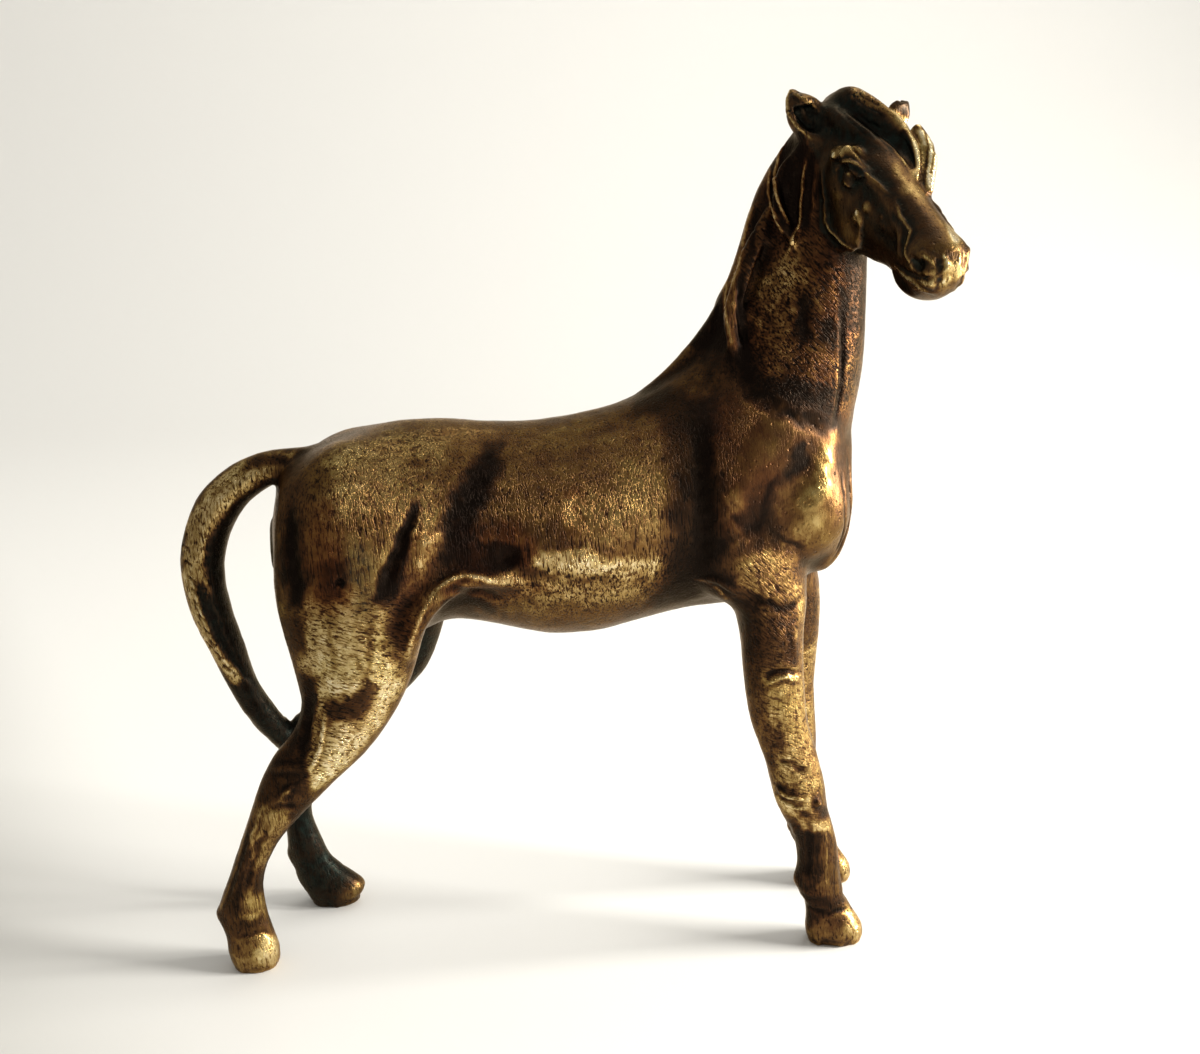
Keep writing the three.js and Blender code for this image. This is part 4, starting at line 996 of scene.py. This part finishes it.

# %% Paint the head
# the wear column holds real wear and also painted light: highlights, reflections and sheen as
# brighter wear
HEAD_PATCHES = [  # the corners in the picture, wear, softness
    ([(760, 60), (990, 60), (990, 330), (760, 330)], 0.38, 3),
    # painted sheen: the cheek is laid on brighter for the grey sheen on its dark skin
    ([(824, 188), (860, 192), (866, 240), (846, 243), (828, 215)], 0.57, 7),
    ([(866, 150), (915, 165), (935, 200), (915, 215), (895, 195), (870, 175)], 0.38, 6),
    ([(897, 200), (935, 205), (965, 240), (950, 262), (915, 262), (906, 240), (908, 228)],
     0.35, 5),
    # painted sheen: the grey-white sheen on the front of the face
    ([(893, 150), (905, 155), (921, 170), (930, 188), (934, 204), (918, 202), (903, 190),
      (895, 172)], 0.72, 6),
    # painted reflection: the white paper seen along the right edge of the nose
    ([(925, 196), (935, 208), (950, 222), (964, 240), (968, 262), (958, 262), (950, 244),
      (938, 226), (924, 208)], 0.58, 6),
    # painted highlight at the top of the nose
    ([(946, 223), (957, 230), (962, 241), (955, 244), (948, 234)], 0.92, 2),
    # the lips: bright brass, and also a painted reflection
    ([(905, 274), (930, 270), (962, 256), (966, 282), (930, 300), (912, 290)], 0.72, 4),
    ([(915, 266), (925, 262), (934, 268), (932, 274), (918, 276)], 0.36, 4),
    ([(935, 262), (941, 264), (944, 280), (936, 282)], 0.34, 3),
    ([(926, 288), (936, 286), (940, 294), (930, 296)], 0.45, 3),
    ([(952, 278), (962, 276), (962, 288), (952, 290)], 0.50, 3),
    ([(890, 270), (905, 282), (920, 297), (900, 292), (888, 280)], 0.14, 3),
    ([(832, 84), (848, 84), (880, 115), (880, 140), (840, 140), (828, 105)], 0.10, 5),
    # the rim of the forelock, in these two patches: rubbed brass, and also a painted reflection
    # along its edge
    ([(850, 82), (866, 86), (888, 103), (905, 112), (918, 128), (923, 150), (922, 174),
      (914, 168), (909, 152), (903, 136), (893, 123), (880, 113), (866, 106), (852, 98)],
     0.56, 3),
    ([(890, 108), (905, 112), (918, 128), (923, 150), (922, 174), (916, 166), (913, 148),
      (908, 133), (898, 120)], 0.73, 4),
    ([(866, 112), (884, 118), (898, 130), (905, 150), (890, 146), (876, 132)], 0.12, 6),
    ([(893, 134), (905, 129), (911, 141), (915, 155), (917, 168), (908, 158), (899, 146)],
     0.0, 2),
    # painted highlight: the far brow, nearly white
    ([(917, 124), (932, 126), (944, 138), (944, 165), (936, 192), (927, 186), (921, 165),
      (919, 145)], 0.96, 2),
    ([(886, 96), (918, 96), (918, 120), (906, 116), (892, 108)], 0.16, 2),
    ([(786, 88), (796, 92), (822, 104), (832, 112), (820, 134), (806, 134), (788, 118)],
     0.34, 3),
    ([(822, 168), (830, 170), (831, 200), (829, 220), (822, 220)], 0.34, 3),
    ([(858, 203), (870, 200), (876, 208), (872, 216), (860, 214)], 0.56, 3),
]
paint_wear_and_light("head", HEAD_PATCHES)
# the wear column holds real wear and also painted light: glints and reflections as brighter wear
HEAD_LINES = [  # the corners in the picture, wear, half width
    ([(925, 131), (928, 148), (926, 168), (924, 184)], 0.40, 1.4),
    ([(934, 138), (934, 155), (931, 172)], 0.45, 1.2),
    ([(914, 127), (922, 128), (932, 133), (937, 140)], 0.35, 1.6),
    ([(894, 104), (902, 110), (908, 118)], 0.30, 1.4),
    ([(838, 155), (843, 149), (850, 147), (857, 151), (864, 158)], 0.60, 5),
    # painted glint on the knob at the rear of the brow
    ([(833, 153), (832, 157), (834, 161)], 0.95, 2.0),
    ([(836, 169), (840, 164), (847, 161), (855, 163), (862, 168), (870, 176)], 0.66, 1.4),
    ([(870, 176), (882, 188), (889, 194)], 0.42, 1.3),
    ([(842, 178), (842, 170), (852, 167), (862, 172), (858, 181)], 0.03, 4),
    # painted glint on the eyeball
    ([(848, 174), (851, 174)], 0.80, 1.8),
    ([(843, 181), (846, 186), (850, 189)], 0.58, 1.2),
    ([(821, 178), (823, 195), (824, 210)], 0.40, 1.4),
    ([(824, 210), (824, 222), (830, 231), (838, 240), (846, 247), (853, 251)], 0.74, 1.4),
    ([(857, 250), (858, 240), (859, 230)], 0.50, 2.0),
    ([(856, 210), (856, 214)], 0.85, 1.6),
    ([(897, 207), (900, 216), (906, 225), (910, 231), (908, 239), (905, 247), (905, 256),
      (909, 263), (914, 271)], 0.60, 1.3),
    ([(921, 264)], 0.04, 5),
    ([(924, 256), (929, 259), (935, 265)], 0.66, 1.6),
    # painted highlight streak beside the nostril
    ([(944, 255), (946, 260), (950, 266)], 0.85, 1.8),
    # the lower lip: a rubbed ridge, and also a painted reflection
    ([(892, 266), (898, 270), (905, 278), (915, 288), (926, 296)], 0.78, 2.2),
    ([(900, 269), (908, 274), (917, 278), (926, 279)], 0.20, 1.8),
    # painted glint on the muzzle
    ([(944, 281), (945, 285)], 0.95, 1.8),
    ([(790, 88), (787, 95), (786, 104), (787, 112)], 0.70, 2.6),
    ([(787, 112), (791, 120), (797, 127), (804, 133), (810, 138)], 0.72, 1.4),
    ([(793, 92), (803, 99), (811, 105), (818, 111)], 0.52, 2.4),
    # the edge of the forelock rim: rubbed brass, and also a painted reflection
    ([(903, 117), (910, 127), (915, 140), (917, 153), (918, 168)], 0.80, 3),
]
paint_wear_and_light("head", HEAD_LINES, line=True)
print("patches and lines on the head:", len(HEAD_PATCHES) + len(HEAD_LINES))

# %% Paint the tail
# The tail's dark base is the dark skin and also painted shade on its inner band; its bright outer
# face and rear edge are rubbed brass and also painted light on its lit side.
TAIL_PATCHES = [
    ([(150, 430), (320, 430), (320, 780), (150, 780)], 0.09, 3),
    ([(312, 446), (285, 448), (245, 452), (215, 478), (184, 520), (180, 566), (208, 596),
      (206, 548), (220, 522), (242, 498), (266, 480), (312, 466)], 0.74, 5),
    ([(246, 456), (285, 452), (290, 462), (262, 468), (240, 474)], 0.30, 4),
]
paint_wear_and_light("tail", TAIL_PATCHES)
rear_edge = [(186, 575), (196, 612), (207, 641), (223, 664), (236, 678)]
paint("wear_and_light", "tail", rear_edge, 0.82, 8, line=True)
print("points on the tail:", int(is_tail.sum()))

# %% [markdown]
# ## Where no hand could rub, and painted shade between the legs
# The inner sides of the hind legs and the far hind foot are darkened, partly for the dark skin,
# in places a blue-green one, that no hand could rub, and partly as painted shade between the legs.
# The lower tail turns blue-green, and everything that faces down is darkened. Such parts are
# found by where they are and which way they face.

# %% Darken the inner sides
LEG_GAP = 2  # a hind leg begins this far from the middle plane
DARK_BELOW = 47  # the inner sides are dark below this height
TOE_FROM, TOE_HEIGHT = -29, 4.5  # where the far hind toe begins, and how high it is

far_hind = (places[:, 1] > MIDDLE + LEG_GAP) & (places[:, 0] < 0) & is_body
near_hind = (places[:, 1] < MIDDLE - LEG_GAP) & (places[:, 0] < 0) & is_body
outer_side = np.clip((facing[:, 1] - 0.15) / 0.45, 0, 1) * np.clip((places[:, 2] - 5) / 8, 0, 1)
inner_side = np.clip((facing[:, 1] - 0.3) / 0.4, 0, 1) * near_hind
low = np.clip((DARK_BELOW - places[:, 2]) / 8, 0, 1)
low *= far_hind * (1 - outer_side) + inner_side
toe = np.clip((places[:, 0] - TOE_FROM) / 3, 0, 1)
toe *= np.clip((TOE_HEIGHT - places[:, 2]) / 2, 0, 1)
every = np.arange(count)
# the inner sides and the far hind leg: dark blue-green skin, and also painted shade between the
# legs
blend_in("wear_and_light", every, low * (1 - 0.55 * toe), 0.10)
blend_in("green", every, low * 0.8, 0.55)
blend_in("green", every, is_tail * np.clip((60 - places[:, 2]) / 15, 0, 1), 0.28)
# everything that faces down is darkened
underneath = np.clip(-facing[:, 2] * 2 - 0.8, 0, 1) * (places[:, 2] > 8)
blend_in("wear_and_light", every, underneath * 0.7, 0.18)
print("points kept dark:", int((low > 0.5).sum() + (underneath > 0.5).sum()))

# %% [markdown]
# ## Tints, flecks and the ways of the brush
# The other masks need fewer patches: where the copper shows red, where the dark skin came off in
# flecks, and where the file ran upright, level or aslant.

# %% Paint the other masks
HIND_HOOF = [(215, 925), (290, 925), (290, 985), (215, 985)]
FRONT_HOOF = [(800, 895), (870, 895), (870, 955), (800, 955)]
TINTS = [  # the mask, the corners in the picture, how much, softness
    ("copper", [(306, 505), (335, 502), (345, 560), (356, 615), (308, 612)], 0.95, 14),
    ("copper", [(500, 525), (520, 522), (540, 555), (528, 572), (500, 560)], 0.9, 6),
    ("copper", [(560, 495), (580, 495), (582, 530), (564, 530)], 0.6, 9),
    ("copper", [(700, 400), (760, 400), (780, 480), (760, 540), (715, 540)], 0.4, 10),
    ("copper", [(455, 520), (500, 530), (500, 580), (450, 575)], 0.7, 9),
    ("copper", [(440, 580), (520, 575), (560, 590), (500, 605), (440, 600)], 0.6, 6),
    ("copper", [(395, 560), (430, 520), (440, 560), (415, 650), (395, 660)], 0.5, 8),
    ("green", [(349, 545), (369, 543), (373, 600), (366, 622), (350, 615)], 1.0, 8),
    ("flecked", [(300, 600), (420, 590), (400, 700), (340, 780), (300, 780)], 0.62, 8),
    ("flecked", [(530, 560), (670, 560), (690, 600), (560, 610), (500, 590)], 0.7, 6),
    ("flecked", [(735, 550), (800, 545), (808, 700), (820, 800), (780, 800), (740, 700)], 0.65,
     6),
    ("flecked", HIND_HOOF, 0.4, 5),
    ("brushed", HIND_HOOF, 0.2, 5),
    ("flecked", FRONT_HOOF, 0.5, 5),
    ("brushed", FRONT_HOOF, 0.2, 5),
    ("flecked", [(750, 270), (868, 260), (868, 420), (790, 415), (750, 350)], 0.9, 8),
    ("flecked", [(310, 430), (430, 420), (440, 520), (310, 540)], 0.5, 8),
    ("flecked", [(440, 430), (690, 400), (690, 540), (450, 530)], 0.15, 8),
    ("flecked", [(640, 400), (760, 380), (780, 560), (700, 560)], 0.15, 8),
    ("brushed", [(320, 430), (450, 415), (450, 530), (345, 545)], 1.0, 10),
    ("brushed", [(440, 430), (690, 400), (720, 560), (690, 610), (500, 600), (440, 540)], 1.0,
     10),
    ("brushed", [(770, 400), (870, 400), (870, 570), (800, 570), (730, 520), (740, 440)], 0.1,
     8),
    ("flecked", [(770, 400), (870, 400), (870, 540), (800, 540), (740, 500), (740, 440)], 0.12,
     8),
    ("flecked", [(848, 82), (870, 86), (890, 104), (880, 114), (850, 100)], 0.9, 3),
    ("flecked", [(784, 84), (835, 100), (835, 135), (784, 135)], 0.6, 3),
    ("flecked", [(905, 258), (970, 250), (970, 300), (905, 300)], 0.45, 4),
    ("level", [(270, 600), (420, 590), (410, 700), (340, 790), (290, 780)], 1.0, 12),
    ("level", [(735, 640), (820, 640), (835, 830), (780, 830)], 0.7, 12),
    ("brushed", [(740, 200), (868, 260), (868, 430), (740, 380)], 1.0, 10),
    ("aslant", [(740, 200), (868, 200), (868, 430), (740, 380)], 1.0, 10),
    ("aslant", [(735, 550), (810, 545), (808, 650), (740, 650)], 0.8, 8),
]
BRIGHT_EDGES, DARK_HOLLOWS = 0.16, 0.30

masks["flecked"][is_head] = 0.12
masks["brushed"][is_head] = 0.15
masks["green"][is_head] = 0.4
for name, corners, target, soft in TINTS:
    x, y = corners[0]
    paint(name, "head" if y < 300 and x > 780 else "body", corners, target, soft)
masks["flecked"][is_tail] = 0.6
masks["wear_and_light"] += BRIGHT_EDGES * edge - DARK_HOLLOWS * hollow
for name, values in masks.items():
    kept = horse.data.attributes.new(name, "FLOAT", "POINT")
    kept.data.foreach_set("value", np.clip(values, 0, 1).astype(np.float32))
print({name: round(float(np.clip(v, 0, 1).mean()), 2) for name, v in masks.items()})

# %% [markdown]
# ## The finish
# Patinated brass is metal all over. The wear, with the painted light laid on it, goes through a
# ramp of colours, from the black skin through brown and olive gold to bare brass. Before that it
# is disturbed at three sizes: clouds, ragged flecks where the dark came off in bits, and the fine
# scratches of the file and the wire brush. Each effect is a small node group, so that it can be
# used in another metal as well.

# %% Small helpers for nodes
def fill(tree, made, inputs):
    """Gives each named input its value, or links it where the value is another node's output."""
    for name, value in inputs.items():
        if isinstance(value, bpy.types.NodeSocket):
            tree.links.new(value, made.inputs[name])
        else:
            made.inputs[name].default_value = value


def add(tree, kind, inputs=(), **settings):
    """A new shader node of this kind, with its settings and its inputs."""
    made = tree.nodes.new("ShaderNode" + kind)
    for name, value in settings.items():
        setattr(made, name, value)
    fill(tree, made, dict(inputs))
    return made


def maths(tree, operation, a, b=0.0, clamp=False):
    """The result of one sum, product or difference, kept from 0 to 1 if it is clamped."""
    return add(tree, "Math", {0: a, 1: b}, operation=operation, use_clamp=clamp).outputs[0]


def blend_colours(tree, amount, a, b, way="MIX"):
    """Colour b laid over colour a by the amount."""
    made = add(tree, "Mix", data_type="RGBA", blend_type=way)
    fill(tree, made, {0: amount, 6: a, 7: b})
    return made.outputs[2]


def new_group(name, inputs, output):
    """A node group with named inputs {name: value}, a Vector where the value is None."""
    group = bpy.data.node_groups.new(name, "ShaderNodeTree")
    for label, value in inputs.items():
        kind = "NodeSocketVector" if value is None else "NodeSocketFloat"
        made = group.interface.new_socket(label, in_out="INPUT", socket_type=kind)
        if value is not None:
            made.default_value = value
    group.interface.new_socket(output, in_out="OUTPUT", socket_type="NodeSocketFloat")
    return group, group.nodes.new("NodeGroupInput").outputs, group.nodes.new("NodeGroupOutput")


def use(group, **inputs):
    """The output of a node group, used in the tree of the metal."""
    made = tree.nodes.new("ShaderNodeGroup")
    made.node_tree = group
    fill(tree, made, inputs)
    return made.outputs[0]


# %% Group: fine scratches
scratches, given, result = new_group(
    "scratches", {"Vector": None, "Turn": 0.0, "Across": 6.0, "Along": 0.5, "Cover": 0.5}, "Mask")
turned = add(scratches, "VectorRotate", {"Vector": given["Vector"], "Angle": given["Turn"]},
             rotation_type="Y_AXIS")
stretch = add(scratches, "CombineXYZ", {"X": given["Across"], "Y": given["Across"],
                                        "Z": given["Along"]})
lines = add(scratches, "VectorMath", {0: turned.outputs[0], 1: stretch.outputs[0]},
            operation="MULTIPLY")
hairs = add(scratches, "TexNoise", {"Vector": lines.outputs[0], "Scale": 1.0, "Detail": 2.0,
                                    "Roughness": 0.6})
limit = maths(scratches, "SUBTRACT", 0.72, maths(scratches, "MULTIPLY", given["Cover"], 0.3))
lit = add(scratches, "MapRange", {"Value": hairs.outputs[0], "From Min": limit,
          "From Max": maths(scratches, "ADD", limit, 0.08)}, interpolation_type="SMOOTHSTEP")
scratches.links.new(lit.outputs[0], result.inputs["Mask"])

# %% Group: ragged flecks
ragged, given, result = new_group(
    "ragged flecks", {"Vector": None, "Scale": 1.0, "Sharpness": 3.0}, "Offset")
flecks = add(ragged, "TexNoise", {"Vector": given["Vector"], "Scale": given["Scale"],
                                  "Detail": 5.0, "Roughness": 0.62})
steep = maths(ragged, "MULTIPLY", maths(ragged, "SUBTRACT", flecks.outputs[0], 0.5),
              given["Sharpness"])
ragged.links.new(maths(ragged, "MAXIMUM", maths(ragged, "MINIMUM", steep, 0.5), -0.5),
                 result.inputs["Offset"])

# %% Group: casting pits
pits, given, result = new_group("pits", {"Vector": None, "Scale": 1.5, "Cover": 0.4}, "Mask")
cells = add(pits, "TexVoronoi", {"Vector": given["Vector"], "Scale": given["Scale"]})
chance = add(pits, "SeparateColor", {"Color": cells.outputs["Color"]})
chosen = maths(pits, "LESS_THAN", chance.outputs[0], given["Cover"])
hole = add(pits, "MapRange", {"Value": cells.outputs["Distance"], "From Min": 0.34,
                              "From Max": 0.10}, interpolation_type="SMOOTHSTEP")
pits.links.new(maths(pits, "MULTIPLY", hole.outputs[0], chosen), result.inputs["Mask"])
print("node groups:", [group.name for group in (scratches, ragged, pits)])

# %% [markdown]
# ## Wear and painted light turned into colour
# The seven stops of the ramp are the colours of the metal from untouched to bare. The patterns
# are measured in millimetres of the horse. Upright, slanting and lying scratches are made
# everywhere, and the masks choose between them.

# %% The material and its patterns
RAMP = [
    (0.00, (0.0075, 0.0046, 0.0032)),
    (0.22, (0.0260, 0.0130, 0.0068)),
    (0.40, (0.0690, 0.0320, 0.0130)),
    (0.55, (0.1520, 0.0810, 0.0255)),
    (0.70, (0.3150, 0.2050, 0.0700)),
    (0.85, (0.5700, 0.4250, 0.1950)),
    (1.00, (0.8200, 0.6900, 0.4500)),
]
metal = bpy.data.materials.new("patinated_brass")
metal.use_nodes = True
tree = metal.node_tree
skin = tree.nodes["Principled BSDF"]
coords = add(tree, "TexCoord").outputs["Object"]
spot = add(tree, "VectorMath", {0: coords, 1: (1000, 1000, 1000)}, operation="MULTIPLY").outputs[0]
mask = {name: add(tree, "Attribute", attribute_name=name).outputs["Fac"] for name in masks}


def by_region(upright, slanting, lying):
    """One of three patterns, by the way in which the part was brushed."""
    first = add(tree, "Mix", data_type="FLOAT")
    fill(tree, first, {0: mask["aslant"], 2: upright, 3: slanting})
    last = add(tree, "Mix", data_type="FLOAT")
    fill(tree, last, {0: mask["level"], 2: first.outputs[0], 3: lying})
    return last.outputs[0]


scored = by_region(
    use(scratches, Vector=spot, Turn=0.08, Across=5.5, Along=0.45, Cover=0.68),
    use(scratches, Vector=spot, Turn=0.85, Across=4.8, Along=0.6, Cover=0.70),
    use(scratches, Vector=spot, Turn=1.25, Across=4.8, Along=0.7, Cover=0.66),
)
dented = by_region(
    use(scratches, Vector=spot, Turn=0.12, Across=3.4, Along=1.0, Cover=0.55),
    use(scratches, Vector=spot, Turn=0.8, Across=3.4, Along=1.0, Cover=0.58),
    use(scratches, Vector=spot, Turn=1.3, Across=3.4, Along=1.0, Cover=0.58),
)
clouds = use(ragged, Vector=spot, Scale=0.16, Sharpness=2.2)
patches = use(ragged, Vector=spot, Scale=1.1, Sharpness=3.0)
specks = use(pits, Vector=spot, Scale=1.5, Cover=0.3)
print("patterns in the metal:", sum(node.type == "GROUP" for node in tree.nodes))

# %% Disturb the wear and painted light, and colour the metal by it
CLOUDED, FLECKED, SCORED, DENTED, PITTED = 0.15, 0.32, 0.30, 0.52, 0.35
COPPER_RED = (1.14, 0.82, 0.76, 1)
OLIVE = (0.90, 0.98, 0.64, 1)
BLUE_GREEN = (0.010, 0.030, 0.026, 1)


def plus(a, b, clamp=False):
    return maths(tree, "ADD", a, b, clamp)


def minus(a, b, clamp=False):
    return maths(tree, "SUBTRACT", a, b, clamp)


def times(a, b, clamp=False):
    return maths(tree, "MULTIPLY", a, b, clamp)


wear_and_light = plus(mask["wear_and_light"], times(clouds, CLOUDED))
wear_and_light = plus(wear_and_light, times(patches, times(mask["flecked"], FLECKED)))
wear_and_light = minus(wear_and_light, times(mask["brushed"], times(scored, SCORED)))
wear_and_light = minus(wear_and_light, times(dented, times(mask["flecked"], DENTED)))
wear_and_light = minus(wear_and_light, times(specks, times(mask["flecked"], PITTED)), clamp=True)
ramp = add(tree, "ValToRGB", {"Fac": wear_and_light})
stops = ramp.color_ramp.elements
while len(stops) < len(RAMP):
    stops.new(0.5)
for stop, (place, colour) in zip(stops, RAMP):
    stop.position = place
    stop.color = (*colour, 1)
red = minus(plus(mask["copper"], times(patches, 0.3)), times(clouds, 0.6), clamp=True)
red = times(red, minus(1.45, times(wear_and_light, 1.5), clamp=True))  # bare metal shows no red
colour = blend_colours(tree, red, ramp.outputs[0], COPPER_RED, "MULTIPLY")
olive = times(minus(clouds, mask["copper"]), 0.8, clamp=True)
colour = blend_colours(tree, olive, colour, OLIVE, "MULTIPLY")
green = times(mask["green"], plus(patches, 0.5, clamp=True))
green = times(green, minus(1.0, wear_and_light, clamp=True))
colour = blend_colours(tree, green, colour, BLUE_GREEN)
tree.links.new(colour, skin.inputs["Base Color"])
print("stops in the ramp:", len(stops))

# %% [markdown]
# ## Gloss and depth
# Rubbed metal is glossier than the skin, and the scratches blur its gloss. The same patterns are
# carved in by a bump of a few hundredths of a millimetre.

# %% Gloss and bump
BUMP_DEPTH = 0.07

gloss = add(tree, "MapRange", {"Value": wear_and_light, "From Max": 0.9, "To Min": 0.36, "To Max": 0.23})
tree.links.new(plus(gloss.outputs[0], times(scored, 0.06)), skin.inputs["Roughness"])
bare = add(tree, "MapRange", {"Value": wear_and_light, "From Min": 0.1, "From Max": 0.5, "To Min": 0.92,
                              "To Max": 0.97})
tree.links.new(bare.outputs[0], skin.inputs["Metallic"])
skin.inputs["Specular IOR Level"].default_value = 0.4
skin.inputs["Specular Tint"].default_value = (1.0, 0.86, 0.70, 1)
grain = add(tree, "TexNoise", {"Vector": spot, "Scale": 2.4, "Detail": 1.0, "Roughness": 0.5})
height = minus(times(grain.outputs[0], 0.35), times(times(scored, mask["brushed"]), 0.9))
height = minus(height, times(dented, times(mask["flecked"], 0.9)))
height = plus(minus(height, times(specks, 0.9)), times(patches, 0.2))
bump = add(tree, "Bump", {"Height": height, "Strength": 0.8, "Distance": BUMP_DEPTH * MM})
tree.links.new(bump.outputs[0], skin.inputs["Normal"])
horse.data.materials.clear()
horse.data.materials.append(metal)
print("the metal has", len(tree.nodes), "nodes")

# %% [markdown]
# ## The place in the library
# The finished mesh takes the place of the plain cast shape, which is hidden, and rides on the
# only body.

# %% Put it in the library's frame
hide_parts("horse")
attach(horse, "root")
print("the finished mesh is", horse.name)

# %% [markdown]
# ## Paper and window light
# The horse stands on white paper that curves up behind it, beside a window on the right. The
# paper is a grid bent by a simple rule, and its colour is painted greyer on the left as shade,
# the light falling off away from the window. The window is one soft light, a weak one stands for
# the ceiling, and a dim even sky for the rest of the room. All sizes in these two cells are in
# metres.

# %% Paper
bpy.ops.mesh.primitive_grid_add(x_subdivisions=2, y_subdivisions=120, size=3)
paper = bpy.context.object
paper.name = "paper"
BEND_FROM, BEND_RADIUS = 0.40, 0.70
for point in paper.data.vertices:
    over = point.co.y - BEND_FROM
    if over > 0:
        angle = min(over / BEND_RADIUS, math.pi / 2)
        rest = over - angle * BEND_RADIUS
        point.co.y = BEND_FROM + BEND_RADIUS * math.sin(angle)
        point.co.z = BEND_RADIUS * (1 - math.cos(angle)) + rest
bpy.ops.object.shade_smooth()
white = bpy.data.materials.new("white_paper")
white.use_nodes = True
sheet = white.node_tree.nodes["Principled BSDF"]
sheet.inputs["Roughness"].default_value = 0.8
where = add(white.node_tree, "TexCoord").outputs["Object"]
# painted shade: the paper's colour greys towards the left, away from the window
TOWARD_LIGHT = (1, 0.5, -0.16)
SHADED_PAPER, WHITE_PAPER = (0.52, 0.51, 0.47, 1), (0.86, 0.85, 0.81, 1)
nearer = add(white.node_tree, "VectorMath", {0: where, 1: TOWARD_LIGHT}, operation="DOT_PRODUCT")
fade = add(white.node_tree, "MapRange", {"Value": nearer.outputs["Value"], "From Min": -0.095,
           "From Max": -0.035}, interpolation_type="SMOOTHSTEP")
shade = blend_colours(white.node_tree, fade.outputs[0], SHADED_PAPER, WHITE_PAPER)
white.node_tree.links.new(shade, sheet.inputs["Base Color"])
paper.data.materials.append(white)
print("the paper has", len(paper.data.polygons), "faces")

# %% Window and room
def area_light(name, place, target, width, height, power, colour):
    """A soft rectangular light at one place, pointed at another."""
    data = bpy.data.lights.new(name, "AREA")
    data.shape = "RECTANGLE"
    data.size, data.size_y = width, height
    data.energy = power
    data.color = colour
    light = bpy.data.objects.new(name, data)
    bpy.context.scene.collection.objects.link(light)
    light.location = place
    way = Vector(target) - Vector(place)
    light.rotation_euler = way.to_track_quat("-Z", "Y").to_euler()


area_light("window", place=(0.64, -0.07, 0.21), target=(0, 0.03, 0.04), width=0.26, height=0.34,
           power=12.5, colour=(1.0, 0.98, 0.94))
area_light("ceiling", place=(0.5, 0.45, 1.2), target=(0.15, 0.3, 0.0), width=1.0, height=0.8,
           power=5, colour=(1.0, 0.985, 0.95))
world = bpy.data.worlds.new("room")
world.use_nodes = True
sky = world.node_tree.nodes["Background"]
sky.inputs["Color"].default_value = (1.0, 0.97, 0.92, 1)
sky.inputs["Strength"].default_value = 0.45
bpy.context.scene.world = world
bpy.context.scene.view_settings.view_transform = "Standard"
